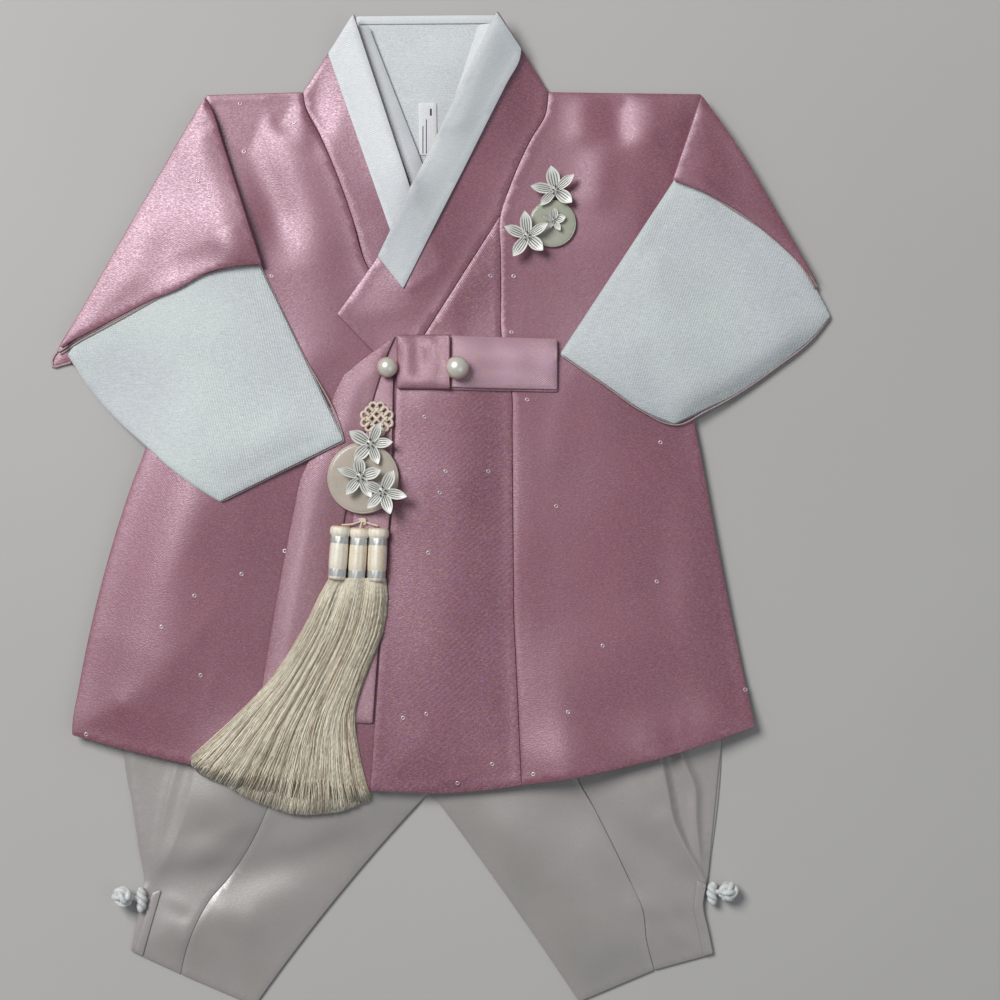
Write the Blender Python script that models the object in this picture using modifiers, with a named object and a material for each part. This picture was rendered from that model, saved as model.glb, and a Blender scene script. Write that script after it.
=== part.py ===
"""A one-year-old's hanbok set, laid flat: jacket, inner jacket, trousers, ribbon and ornaments.

+Z is up, +Y runs to the neck and +X to the wearer's left. The set lies on Z = 0, and the
origin is under the middle of its outline. Sizes in the tables are millimetres; meshes are
made in metres. Every cloth piece is a plate cut to its outline and laid on the pieces below
it, in the order in which the set is laid out.
"""
import math

import bmesh
import bpy
import numpy as np
from mathutils import Vector
from mathutils.geometry import delaunay_2d_cdt, intersect_point_line

MM = 0.001                  # the tables' unit, in metres

# Driving dimensions
HALF_WIDTH = 202.5          # the set's half width, sleeve tip to sleeve tip
HALF_LENGTH = 257.5         # its half length, neck to ankle
WALL = 1.2                  # one layer of lined satin
THIN_WALL = 1.0             # one layer of the white inner jacket, and of the white strips
RIBBON = 1.2                # one layer of ribbon
FOLDED_SLEEVE = 3.2         # the sleeve layers hidden under the turned-over sleeve
PETAL = 1.0                 # the silver flowers' plate
GAP = 0.35                  # air left between pieces that lie on each other
SEAM = 0.4                  # gap left between pieces that are sewn edge to edge
CELL = 1.0                  # grid of the height map that the pieces are laid on

# The set's lines: rows of x, y, bulge. The bulge is the rise of a shallow arc from that
# row's point to the next, to the right of the way along the line.
NECK_RIGHT = (-44.5, 256.5)
NECK_LEFT = (29.5, 257.5)
COLLAR_FOLD_RIGHT = (-58.5, 236.5)
COLLAR_FOLD_LEFT = (42.5, 238.0)
SHOULDER_RIGHT = [(-71.5, 217.0, 0), (-121.5, 215.5, 0)]
SHOULDER_LEFT = [(135.5, 216.0, 0), (56.0, 217.0, 0)]
SIDE_RIGHT = [(-121.5, 215.5, 1.5), (-152.0, 34.0, 4.5), (-190.5, -113.0, 0), (-190.5, -116.5, 0)]
HEM_RIGHT = [(-190.5, -116.5, 5.5), (-0.5, -146.5, 0)]
HEM_MIDDLE = [(-36.0, -145.0, 0), (-0.5, -146.5, 0.8), (42.0, -142.0, 0)]
HEM_LEFT = [(42.0, -142.0, 3.6), (163.0, -112.0, 0)]
SIDE_LEFT = [(163.0, -112.0, -1.0), (131.5, 49.5, 2.0), (135.5, 216.0, 0)]
COLLAR_SEAM_RIGHT = [(-71.5, 217.0, 0), (-70.5, 210.5, -2.5), (-39.5, 130.0, 0), (-18.5, 88.5, 0)]
COLLAR_SEAM_LEFT = [(56.0, 217.0, 0), (54.5, 205.5, 2.0), (31.0, 152.5, 0), (-8.0, 91.0, 0),
                     (-22.5, 69.0, 0)]
GORE_SEAM = [(31.0, 152.5, 0), (31.5, 91.0, 0), (37.0, 60.0, 0), (38.0, -54.0, 0), (42.0, -142.0, 0)]
FRONT_EDGE = [(-22.5, 69.0, 0), (-24.5, 5.0, 0), (-30.5, -62.5, 0), (-36.0, -145.0, 0)]
LEG_SEAM_RIGHT = [(-49.5, 100.0, 0), (-57.5, -26.0, 0), (-89.0, -153.0, -3.0), (-120.0, -202.5, 2.0),
                 (-135.0, -241.0, 0)]
LEG_SEAM_LEFT = [(44.0, 100.0, 0), (54.5, -47.0, 0), (71.0, -138.5, -1.0), (105.0, -207.5, 1.0),
                  (111.0, -239.0, 0)]
WAIST_RIGHT, WAIST_MIDDLE, WAIST_LEFT, WAIST_LINE = -127.5, -6.5, 111.5, 100.0
WAISTBAND_HEIGHT = 26.0
CROTCH = (-5.5, -146.0)
LEG_OUTER_RIGHT = [(WAIST_RIGHT, WAIST_LINE, 7), (-164.5, -124.5, 0), (-154.0, -194.0, 0),
                  (-161.0, -229.0, 0), (-135.0, -241.0, 0)]
LEG_INNER_RIGHT = [(-135.0, -241.0, 0), (-96.5, -257.5, -2.6), (*CROTCH, 0),
                  (WAIST_MIDDLE, WAIST_LINE, 0)]
LEG_INNER_LEFT = [(WAIST_MIDDLE, WAIST_LINE, 0), (*CROTCH, -1.0), (72.0, -255.5, 0),
                   (111.0, -239.0, 0)]
LEG_OUTER_LEFT = [(111.0, -239.0, 0), (142.0, -230.5, 0), (136.5, -205.0, 0), (139.0, -190.0, 0),
                   (146.0, -119.0, 7), (WAIST_LEFT, WAIST_LINE, 0)]

SATIN, WHITE, GREIGE = "satin_rose", "white_satin", "trouser_satin"
PEARL, JADE, SILVER, THREAD, CORD = "pearl", "jade", "silver", "tassel_thread", "white_cord"

# Materials: base colour (linear), roughness, metallic
MATERIALS = {
    SATIN: ((0.42, 0.19, 0.23), 0.45, 0.0),
    WHITE: ((0.78, 0.82, 0.83), 0.5, 0.0),
    GREIGE: ((0.36, 0.33, 0.31), 0.5, 0.0),
    PEARL: ((0.72, 0.72, 0.64), 0.2, 0.0),
    JADE: ((0.50, 0.48, 0.36), 0.3, 0.0),
    SILVER: ((0.80, 0.80, 0.76), 0.3, 1.0),
    THREAD: ((0.60, 0.50, 0.33), 0.6, 0.0),
    CORD: ((0.72, 0.76, 0.77), 0.6, 0.0),
}


def start_clean():
    for item in list(bpy.data.objects):
        bpy.data.objects.remove(item, do_unlink=True)


def make_material(name):
    colour, roughness, metallic = MATERIALS[name]
    material = bpy.data.materials.new(name)
    material.use_nodes = True
    shader = material.node_tree.nodes["Principled BSDF"]
    shader.inputs["Base Color"].default_value = (*colour, 1.0)
    shader.inputs["Roughness"].default_value = roughness
    shader.inputs["Metallic"].default_value = metallic
    return material


# Lines and outlines

def back(line):
    """The same line walked the other way."""
    points = [row[:2] for row in reversed(line)]
    bulges = [-row[2] for row in reversed(line[:-1])] + [0]
    return [(x, y, bulge) for (x, y), bulge in zip(points, bulges)]


def closed(*lines):
    """Lines joined end to end into one outline, without the points that they share."""
    rows = []
    for line in lines:
        for row in line:
            if rows and math.dist(rows[-1][:2], row[:2]) < 0.01:
                rows[-1] = row
            else:
                rows.append(row)
    if math.dist(rows[-1][:2], rows[0][:2]) < 0.01:
        rows.pop()
    return rows


def straight(*points):
    return [(x, y, 0) for x, y in points]


def trace(rows, step):
    """Points along an outline, a step or less apart, its shallow arcs followed."""
    points = []
    for (x, y, bulge), (next_x, next_y, _) in zip(rows, rows[1:] + rows[:1]):
        chord = math.hypot(next_x - x, next_y - y)
        across = ((next_y - y) / chord, -(next_x - x) / chord)
        count = max(1, math.ceil(chord / step), 4 if abs(bulge) > 1.5 else 1)
        for t in (i / count for i in range(count)):
            rise = 4 * bulge * t * (1 - t)
            points.append((x + (next_x - x) * t + across[0] * rise,
                           y + (next_y - y) * t + across[1] * rise))
    return points


def inset(points, distance):
    """The outline moved inwards, so that sewn neighbours keep their gap."""
    moved = []
    for before, here, after in zip(points[-1:] + points[:-1], points, points[1:] + points[:1]):
        into = (Vector(here) - Vector(before)).normalized()
        out = (Vector(after) - Vector(here)).normalized()
        normal = (Vector((-into.y, into.x)) + Vector((-out.y, out.x))).normalized()
        reach = distance / max(0.4, normal.dot(Vector((-into.y, into.x))))
        moved.append((here[0] + normal.x * reach, here[1] + normal.y * reach))
    return moved


def inside(points, x, y):
    hit = False
    for (x0, y0), (x1, y1) in zip(points, points[1:] + points[:1]):
        if (y0 > y) != (y1 > y) and x < x0 + (x1 - x0) * (y - y0) / (y1 - y0):
            hit = not hit
    return hit


def distance_to(points, x, y, loop=True):
    """How far a point is from a line or an outline."""
    nearest = math.inf
    ends = points[1:] + points[:1] if loop else points[1:]
    for start, end in zip(points, ends):
        foot, along = intersect_point_line((x, y), start, end)
        if along <= 0.0:
            foot = Vector(start)
        elif along >= 1.0:
            foot = Vector(end)
        nearest = min(nearest, math.hypot(foot[0] - x, foot[1] - y))
    return nearest


# The pile: how high the pieces laid so far reach

class Pile:
    """A height map of everything laid down; pieces of one level are added together."""

    def __init__(self):
        self.columns = int(2 * HALF_WIDTH / CELL) + 60
        self.rows = int(2 * HALF_LENGTH / CELL) + 60
        self.top = np.zeros((self.rows, self.columns))
        self.waiting = []

    def cells(self, points, faces):
        """The cells that each triangle covers, with the corner weights of each cell."""
        places, weights, corners = [], [], []
        grid = [(p[0] / CELL + self.columns / 2, p[1] / CELL + self.rows / 2) for p in points]
        for face in faces:
            (x0, y0), (x1, y1), (x2, y2) = (grid[i] for i in face)
            area = (x1 - x0) * (y2 - y0) - (x2 - x0) * (y1 - y0)
            if abs(area) < 1e-6:
                continue
            longest = max(math.dist(grid[face[i]], grid[face[i - 1]]) for i in range(3))
            rows, columns = np.mgrid[math.floor(min(y0, y1, y2)):math.ceil(max(y0, y1, y2)) + 1,
                                     math.floor(min(x0, x1, x2)):math.ceil(max(x0, x1, x2)) + 1]
            first = ((x1 - columns) * (y2 - rows) - (x2 - columns) * (y1 - rows)) / area
            second = ((x2 - columns) * (y0 - rows) - (x0 - columns) * (y2 - rows)) / area
            weight = np.stack([first, second, 1 - first - second], axis=-1)
            near = weight.min(axis=-1) > -0.8 * longest / abs(area)
            weight = np.clip(weight[near], 0.0, 1.0)
            weights.append(weight / weight.sum(axis=1, keepdims=True))
            places.append(rows[near] * self.columns + columns[near])
            corners.append(np.tile(face, (len(weight), 1)))
        return np.concatenate(places), np.concatenate(weights), np.concatenate(corners)

    def floor_for(self, points, faces, level=False):
        """The lowest heights of a plate's corners at which it clears all that lies below."""
        places, weights, corners = self.cells(points, faces)
        widened = self.top.copy()
        for axis in (0, 1):
            for step in (-1, 1):
                widened = np.maximum(widened, np.roll(widened, step, axis=axis))
        need = widened.ravel()[places]
        need = np.where(need > 0.0, need + GAP, 0.0)
        heights = np.zeros(len(points))
        if level:
            return heights + need.max()
        for _ in range(200):
            short = need - (weights * heights[corners]).sum(axis=1)
            if short.max() < 0.02:
                break
            rise = np.maximum(short, 0.0)[:, None] * weights / (weights ** 2).sum(axis=1, keepdims=True)
            raised = np.zeros(len(points))
            np.maximum.at(raised, corners.ravel(), rise.ravel())
            heights += 0.6 * raised
        return heights

    def add(self, points, faces, heights):
        self.waiting.append((points, faces, np.asarray(heights)))

    def settle(self):
        """Ends a level: the pieces that come next lie on this level's pieces."""
        for points, faces, heights in self.waiting:
            places, weights, corners = self.cells(points, faces)
            np.maximum.at(self.top.reshape(-1), places, (weights * heights[corners]).sum(axis=1))
        self.waiting = []


# Pieces

def lattice(rim, step):
    """Staggered points inside an outline, clear of its rim."""
    xs, ys = [x for x, _ in rim], [y for _, y in rim]
    row_height = step * math.sqrt(3) / 2
    points = []
    for row in range(math.ceil((max(ys) - min(ys)) / row_height)):
        y = min(ys) + (row + 0.5) * row_height
        for column in range(math.ceil((max(xs) - min(xs)) / step) + 1):
            x = min(xs) + (column + 0.5 * (row % 2)) * step
            if inside(rim, x, y) and distance_to(rim, x, y) > 0.55 * step:
                points.append((x, y))
    return points


def along(line, step):
    """Points along an open line, a step or less apart."""
    points = []
    for (x0, y0), (x1, y1) in zip(line, line[1:]):
        count = max(1, round(math.dist((x0, y0), (x1, y1)) / step))
        points += [(x0 + (x1 - x0) * i / count, y0 + (y1 - y0) * i / count) for i in range(count)]
    return points + [line[-1]]


def cut(rim, step, folds):
    """Triangles that fill an outline, with points along its folds."""
    marks = [[p for p in along(line, step) if inside(rim, *p) and distance_to(rim, *p) > 2.0]
             for line, _, _ in folds]
    flat = [p for mark in marks for p in mark]
    spread = [p for p in lattice(rim, step) if all(math.dist(p, q) > 0.5 * step for q in flat)]
    edges, start = [], len(rim)
    for mark in marks:
        edges += [(start + i, start + i + 1) for i in range(len(mark) - 1)]
        start += len(mark)
    points = [Vector(p) for p in rim + flat + spread]
    inner_triangles = 1
    points, _, faces, _, _, _ = delaunay_2d_cdt(points, edges, [list(range(len(rim)))],
                                                inner_triangles, 1e-4)
    return points, faces


def plate(name, points, faces, bottom, top):
    """A closed mesh between two heights over the same triangles."""
    mesh = bpy.data.meshes.new(name)
    work = bmesh.new()
    verts = [work.verts.new((p.x * MM, p.y * MM, z * MM)) for p, z in zip(points, bottom)]
    for face in faces:
        work.faces.new([verts[i] for i in reversed(face)])
    lower = {tuple(vert.co): i for i, vert in enumerate(verts)}
    for item in bmesh.ops.extrude_face_region(work, geom=work.faces[:])["geom"]:
        if isinstance(item, bmesh.types.BMVert):
            item.co.z = top[lower[tuple(item.co)]] * MM
    bmesh.ops.recalc_face_normals(work, faces=work.faces[:])
    work.to_mesh(mesh)
    work.free()
    return bpy.data.objects.new(name, mesh)


def fan(centre, radius, count=16):
    """A round plan: its points and triangles."""
    angles = [math.tau * i / count for i in range(count)]
    ring = [(centre[0] + radius * math.cos(a), centre[1] + radius * math.sin(a)) for a in angles]
    return [centre] + ring, [(0, i + 1, (i + 1) % count + 1) for i in range(count)]


class Maker:
    """Lays pieces on the pile and keeps their objects in the set's collection."""

    def __init__(self, collection):
        self.collection = collection
        self.pile = Pile()
        self.materials = {name: make_material(name) for name in MATERIALS}

    def settle(self):
        self.pile.settle()

    def keep(self, item, material):
        item.data.materials.clear()
        item.data.materials.append(self.materials[material])
        for owner in list(item.users_collection):
            owner.objects.unlink(item)
        self.collection.objects.link(item)
        return item

    def panel(self, name, outline, material, thick=WALL, step=18.0, crown=0.0, crown_reach=14.0,
              solid=False, stiff=False, folds=()):
        """A plate of cloth laid on the pile.

        crown lifts its middle above its rim, on both sides or, where it is solid, on the
        upper side only. folds are rows of (line, height, half width), soft ridges. A stiff
        plate lies level on the highest point below it.
        """
        rim = inset(trace(outline, step), SEAM / 2)
        points, faces = cut(rim, step, folds)
        floor = self.pile.floor_for(points, faces, level=stiff)
        lift = []
        for point in points:
            depth = distance_to(rim, *point)
            rise = crown * (1 - math.exp(-(depth / crown_reach) ** 2))
            for line, height, half_width in folds:
                near = distance_to(line, *point, loop=False) / half_width
                rise += height * max(0.0, 1 - near ** 2) ** 2
            lift.append(rise)
        bottom = [z if solid else z + rise for z, rise in zip(floor, lift)]
        top = [z + rise + thick for z, rise in zip(floor, lift)]
        self.pile.add(points, faces, top)
        return self.keep(plate(name, points, faces, bottom, top), material)

    def rest(self, item, centre, radius, half_height):
        """Sets a round hard piece down on the pile."""
        points, faces = fan(centre, radius)
        height = self.pile.floor_for(points, faces, level=True)
        item.location = (centre[0] * MM, centre[1] * MM, (height[0] + half_height) * MM)
        self.pile.add(points, faces, height + 2 * half_height)

    def ball(self, name, centre, radius, material, squash=(1.0, 1.0, 1.0), segments=16):
        bpy.ops.mesh.primitive_uv_sphere_add(segments=segments, ring_count=8, radius=radius * MM)
        item = bpy.context.object
        item.name = item.data.name = name
        for vert in item.data.vertices:
            vert.co = [c * s for c, s in zip(vert.co, squash)]
        item.data.shade_smooth()
        self.keep(item, material)
        self.rest(item, centre, radius * max(squash[:2]), radius * squash[2])

    def disc(self, name, centre, radius, thick, material):
        bpy.ops.mesh.primitive_cylinder_add(vertices=36, radius=radius * MM, depth=thick * MM)
        item = bpy.context.object
        item.name = item.data.name = name
        edge = item.modifiers.new("edge", "BEVEL")
        edge.width = 0.3 * thick * MM
        edge.segments = 1
        edge.limit_method = "ANGLE"
        self.keep(item, material)
        self.rest(item, centre, radius, thick / 2)

    def flower(self, name, centre, tips, hub, half_angle=0.42, rise=1.4):
        """A metal flower: a plate with a petal to each tip, the petals curling up."""
        petals = [(math.atan2(y - centre[1], x - centre[0]), math.dist((x, y), centre)) for x, y in tips]
        longest = max(length for _, length in petals)
        count = 9 * len(tips)
        rim = []
        for angle in (math.tau * i / count for i in range(count)):
            radius = hub
            for petal_angle, length in petals:
                turn = abs((angle - petal_angle + math.pi) % math.tau - math.pi)
                if turn < half_angle:
                    radius = max(radius, hub + (length - hub) * (1 - (turn / half_angle) ** 1.6))
            rim.append((centre[0] + radius * math.cos(angle), centre[1] + radius * math.sin(angle)))
        points, faces = cut(rim, longest, ())
        floor = self.pile.floor_for(points, faces, level=True)
        bottom = [z + rise * min(1.0, math.dist(p, centre) / longest) ** 2 for z, p in zip(floor, points)]
        top = [z + PETAL for z in bottom]
        self.pile.add(points, faces, top)
        self.keep(plate(name, points, faces, bottom, top), SILVER)

    def turned(self, name, top, bottom, profile, material, steps=12):
        """A turned piece lying down. Profile rows are distance from its top end and radius."""
        mesh = bpy.data.meshes.new(name)
        mesh.from_pydata([(radius * MM, 0, -distance * MM) for distance, radius in profile],
                         [(i, i + 1) for i in range(len(profile) - 1)], [])
        item = bpy.data.objects.new(name, mesh)
        screw = item.modifiers.new("turn", "SCREW")
        screw.steps = screw.render_steps = steps
        screw.use_merge_vertices = True
        screw.merge_threshold = 0.0001
        screw.use_smooth_shade = True
        radius = max(r for _, r in profile)
        down = (Vector(bottom) - Vector(top)).normalized()
        across = Vector((down.y, -down.x)) * radius
        points = [Vector(top) + across, Vector(top) - across, Vector(bottom) - across, Vector(bottom) + across]
        faces = [(0, 1, 2), (0, 2, 3)]
        height = self.pile.floor_for(points, faces, level=True)
        item.location = (top[0] * MM, top[1] * MM, (height[0] + radius) * MM)
        item.rotation_euler = (math.pi / 2, 0.0, math.atan2(down.y, down.x) - math.pi / 2)
        self.pile.add(points, faces, height + 2 * radius)
        self.keep(item, material)

    def cord(self, name, route, radius, material):
        """A round cord lying on the pile along a short route."""
        points, faces = fan(route[len(route) // 2], math.dist(route[0], route[-1]) / 2 - radius)
        height = float(self.pile.floor_for(points, faces, level=True)[0]) + radius
        curve = bpy.data.curves.new(name, "CURVE")
        curve.dimensions = "3D"
        curve.bevel_depth = radius * MM
        curve.bevel_resolution = 2
        curve.use_fill_caps = True
        spline = curve.splines.new("POLY")
        spline.points.add(len(route) - 1)
        for point, (x, y) in zip(spline.points, route):
            point.co = (x * MM, y * MM, height * MM, 1.0)
        self.keep(bpy.data.objects.new(name, curve), material)


# Garments, in the order in which they are laid down

def trousers(make):
    """Wide trousers that close at the ankles with a cord knot; the jacket hides the waist."""
    leg_right = closed(LEG_OUTER_RIGHT, LEG_INNER_RIGHT)
    leg_left = closed(LEG_INNER_LEFT, LEG_OUTER_LEFT)
    make.panel("trousers_back_right", leg_right, GREIGE, step=24)
    make.panel("trousers_back_left", leg_left, GREIGE, step=24)
    waistband(make)
    make.settle()

    # Soft pleats that run down to the ankles: line, height, half width
    pleats_right = [([(-132, -110), (-145, -167), (-150, -188)], 1.6, 7.0),
                   ([(-118, -112), (-136, -165), (-149, -192)], 2.2, 8.0)]
    pleats_left = [([(116, -120), (122, -165), (133, -192)], 1.8, 8.0),
                    ([(127, -118), (132, -160), (136, -186)], 1.4, 6.0)]
    outer_right = closed(LEG_OUTER_RIGHT, back(LEG_SEAM_RIGHT))
    inner_right = closed(LEG_SEAM_RIGHT, LEG_INNER_RIGHT)
    inner_left = closed(LEG_INNER_LEFT, back(LEG_SEAM_LEFT))
    outer_left = closed(LEG_SEAM_LEFT, LEG_OUTER_LEFT)
    make.panel("trousers_front_right_outer", outer_right, GREIGE, crown=1.0, folds=pleats_right)
    make.panel("trousers_front_right_inner", inner_right, GREIGE, crown=1.2, step=22)
    make.panel("trousers_front_left_inner", inner_left, GREIGE, crown=1.2, step=22)
    make.panel("trousers_front_left_outer", outer_left, GREIGE, crown=1.0, folds=pleats_left)
    make.settle()

    placket_right = straight((-149.5, -198.5), (-159.0, -228.8), (-154.6, -231.6), (-144.8, -197.0))
    placket_left = straight((141.5, -230.2), (136.3, -205.0), (138.0, -194.0), (133.0, -192.0),
                             (131.5, -206.0), (136.5, -231.6))
    make.panel("ankle_binding_right", placket_right, GREIGE, THIN_WALL, step=14)
    make.panel("ankle_binding_left", placket_left, GREIGE, THIN_WALL, step=14)
    make.settle()


def waistband(make):
    """The trousers' waistband: a flattened tube, open at its top and at its bottom."""
    low, high = WAIST_LINE + SEAM, WAIST_LINE + WAISTBAND_HEIGHT
    slot = 0.8
    outer = rounded_slot(WAIST_RIGHT, WAIST_LEFT, 0.0, 2 * WALL + slot)
    inner = rounded_slot(WAIST_RIGHT + WALL, WAIST_LEFT - WALL, WALL, WALL + slot)
    mesh = bpy.data.meshes.new("trousers_waistband")
    work = bmesh.new()
    rings = [[work.verts.new((x * MM, low * MM, z * MM)) for x, z in ring] for ring in (outer, inner)]
    for i in range(len(outer)):
        j = (i + 1) % len(outer)
        work.faces.new((rings[0][i], rings[0][j], rings[1][j], rings[1][i]))
    grown = bmesh.ops.extrude_face_region(work, geom=work.faces[:])["geom"]
    verts = [item for item in grown if isinstance(item, bmesh.types.BMVert)]
    bmesh.ops.translate(work, verts=verts, vec=(0, (high - low) * MM, 0))
    bmesh.ops.recalc_face_normals(work, faces=work.faces[:])
    work.to_mesh(mesh)
    work.free()
    make.keep(bpy.data.objects.new("trousers_waistband", mesh), GREIGE)
    corners = [(WAIST_RIGHT, low), (WAIST_LEFT, low), (WAIST_LEFT, high), (WAIST_RIGHT, high)]
    make.pile.add(corners, [(0, 1, 2), (0, 2, 3)], [2 * WALL + slot] * 4)


def rounded_slot(right, left, low, high, turns=4, runs=8):
    """A long slot's outline in X and Z, with half-round ends."""
    radius, middle = (high - low) / 2, (high + low) / 2
    run = (left - right - 2 * radius) / runs
    points = [(right + radius + run * i, low) for i in range(runs)]
    for i in range(turns + 1):
        angle = -math.pi / 2 + math.pi * i / turns
        points.append((left - radius + radius * math.cos(angle), middle + radius * math.sin(angle)))
    points += [(left - radius - run * i, high) for i in range(1, runs)]
    for i in range(turns):
        angle = math.pi / 2 + math.pi * i / turns
        points.append((right + radius + radius * math.cos(angle), middle + radius * math.sin(angle)))
    return points


def jacket_back(make):
    """The outer jacket's back, its neck band and the folded-under part of each sleeve."""
    outline = closed(SHOULDER_RIGHT, SIDE_RIGHT, HEM_RIGHT, HEM_MIDDLE[1:], HEM_LEFT, SIDE_LEFT,
                     SHOULDER_LEFT)
    band = straight(SHOULDER_RIGHT[0][:2], SHOULDER_LEFT[1][:2], COLLAR_FOLD_LEFT, NECK_LEFT,
                    NECK_RIGHT, COLLAR_FOLD_RIGHT)
    under_right = [(-121.9, 215.0, 0.5), (-179.0, 115.5, 0.5), (-199.8, 81.5, 0), (-202.3, 73.5, 0),
                  (-191.5, 76.0, 2.0), (-152.4, 34.5, -1.5)]
    under_left = [(135.9, 215.5, -2.0), (132.0, 50.5, 0), (153.0, 64.0, 3.0), (197.5, 111.5, 1.5),
                   (166.0, 168.5, 1.0)]
    folded = {"thick": FOLDED_SLEEVE - 0.8, "crown": 0.8, "crown_reach": 8.0, "solid": True}
    make.panel("jacket_back", outline, SATIN, step=24)
    make.panel("collar_back", band, SATIN)
    make.panel("sleeve_under_right", under_right, SATIN, step=20, **folded)
    make.panel("sleeve_under_left", under_left, SATIN, step=20, **folded)
    make.settle()


def inner_jacket_neck(make):
    """The white inner jacket where it shows in the neck: back, label and narrow collar."""
    inner_back = straight((-47.5, 250.0), (-23.0, 165.0), (-13.0, 143.0), (0.0, 143.0), (34.0, 233.0),
                          (30.0, 251.5), (28.3, 256.0), (-43.4, 255.3))
    label = straight((-11.5, 211.5), (-11.0, 184.0), (-1.5, 183.5), (-2.0, 211.5))
    collar_right = straight((-43.0, 249.5), (-11.5, 161.0), (-5.5, 166.5), (-38.0, 249.5))
    collar_left = straight((20.5, 250.5), (8.5, 213.0), (6.0, 200.0), (13.5, 204.0), (29.5, 251.0))
    facing = straight((-44.0, 256.3), (-43.0, 252.0), (28.0, 252.5), (29.0, 257.0))
    make.panel("inner_back", inner_back, WHITE, THIN_WALL)
    make.settle()
    make.panel("neck_facing", facing, WHITE, THIN_WALL)
    make.panel("size_label", label, WHITE, thick=0.5)
    make.panel("inner_collar_right", collar_right, WHITE, THIN_WALL, step=14)
    make.panel("inner_collar_left", collar_left, WHITE, THIN_WALL, step=14)
    make.settle()


def jacket_front(make):
    """The wearer's right front with its collar, then the left front that closes over it."""
    right_front = closed(SHOULDER_RIGHT, SIDE_RIGHT, HEM_RIGHT, straight((16.0, -145.0), (16.0, 78.0)),
                         back(COLLAR_SEAM_RIGHT))
    under_collar = closed(straight(NECK_RIGHT, COLLAR_FOLD_RIGHT), COLLAR_SEAM_RIGHT,
                          straight((7.5, 109.0), (-13.5, 161.0)))
    under_facing = straight((-44.8, 255.9), (-58.2, 236.1), (-24.5, 140.5), (-15.0, 114.5),
                            (0.5, 126.0), (-13.5, 161.0))
    make.panel("front_right_side", right_front, SATIN, step=22)
    make.panel("collar_under", under_collar, SATIN, step=16)
    make.settle()
    make.panel("collar_facing_under", under_facing, WHITE, THIN_WALL, step=16)
    make.settle()

    left_front = closed(COLLAR_SEAM_LEFT[:3], GORE_SEAM, HEM_LEFT, SIDE_LEFT, SHOULDER_LEFT)
    gore = closed(COLLAR_SEAM_LEFT[2:], FRONT_EDGE, HEM_MIDDLE, back(GORE_SEAM))
    over_collar = closed(straight(NECK_LEFT, (-32.5, 131.0), (-53.5, 101.0)), back(COLLAR_SEAM_LEFT),
                         straight(COLLAR_FOLD_LEFT))
    over_facing = straight((29.2, 256.6), (-32.3, 131.0), (-19.0, 114.0), (41.5, 234.0), (42.0, 238.0))
    short_tail = straight((-24.0, 68.0), (-25.2, 5.0), (-31.2, -62.5), (-34.7, -110.0),
                          (-57.5, -109.5), (-49.5, -47.0), (-40.5, 41.5), (-31.5, 74.5))
    make.panel("front_left_side", left_front, SATIN, step=22)
    make.panel("front_gore", gore, SATIN, step=20)
    make.panel("collar_over", over_collar, SATIN, step=16)
    make.panel("ribbon_tail_short", short_tail[::-1], SATIN, RIBBON)
    make.settle()
    make.panel("collar_facing_over", over_facing, WHITE, THIN_WALL, step=16)
    make.settle()


def ribbon_tail(make):
    """The longer ribbon tail, over the front edge and under the end of the sleeve."""
    tail = [(-22.9, 90.0, 0.5), (-49.5, 70.0, 1.0), (-58.5, 47.0, 0), (-72.0, 15.5, 1.5), (-96.0, -122.0, 0),
            (-66.0, -124.0, 0), (-59.5, -67.5, 0), (-48.5, 0.0, 0), (-34.5, 57.0, 0), (-27.5, 79.5, 0)]
    make.panel("ribbon_tail_long", tail, SATIN, RIBBON, step=15)
    make.settle()


def sleeves(make):
    """The sleeves, turned over at the shoulder: each lies back up, the white one inside it."""
    flap_right = [(-121.5, 214.0, 0.5), (-179.0, 115.5, 0), (-197.5, 84.0, 0), (-150.0, 108.0, 1.0),
                 (-121.0, 121.5, -1.0), (-91.5, 126.5, 0), (-118.0, 207.0, 0)]
    flap_left = [(135.0, 214.5, 0), (128.5, 195.0, 0), (120.0, 170.5, -1.0), (154.0, 154.5, -1.5),
                  (195.0, 118.0, 0), (166.0, 168.5, 1.0)]
    white_right = [(-92.5, 125.0, 0), (-101.0, 148.0, 0), (-172.0, 115.0, 0), (-193.0, 80.5, 1.0),
                  (-172.0, 51.5, 0.5), (-152.5, 34.0, 1.5), (-112.5, 4.5, 0), (-49.5, 36.0, 0)]
    white_left = [(120.5, 169.0, 0), (62.5, 80.5, 0), (104.5, 51.5, 1.5), (121.0, 44.5, 0),
                   (153.0, 60.0, 1.0), (192.5, 89.0, 0), (202.3, 100.5, 0), (196.0, 112.5, 0),
                   (174.0, 152.0, 0), (133.0, 189.0, 0)]
    layers = (("sleeve", "front", flap_right, flap_left, SATIN, WALL, 0.0),
              ("inner_sleeve", "front", white_right, white_left, WHITE, THIN_WALL, 0.0),
              ("inner_sleeve", "back", white_right, white_left, WHITE, THIN_WALL, 1.2),
              ("sleeve", "back", flap_right, flap_left, SATIN, WALL, 0.8))
    for sleeve, layer, right, left, material, thick, crown in layers:
        make.panel(f"{sleeve}_right_{layer}", right, material, thick, step=20, crown=crown)
        make.panel(f"{sleeve}_left_{layer}", left, material, thick, step=20, crown=crown)
        make.settle()


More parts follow.
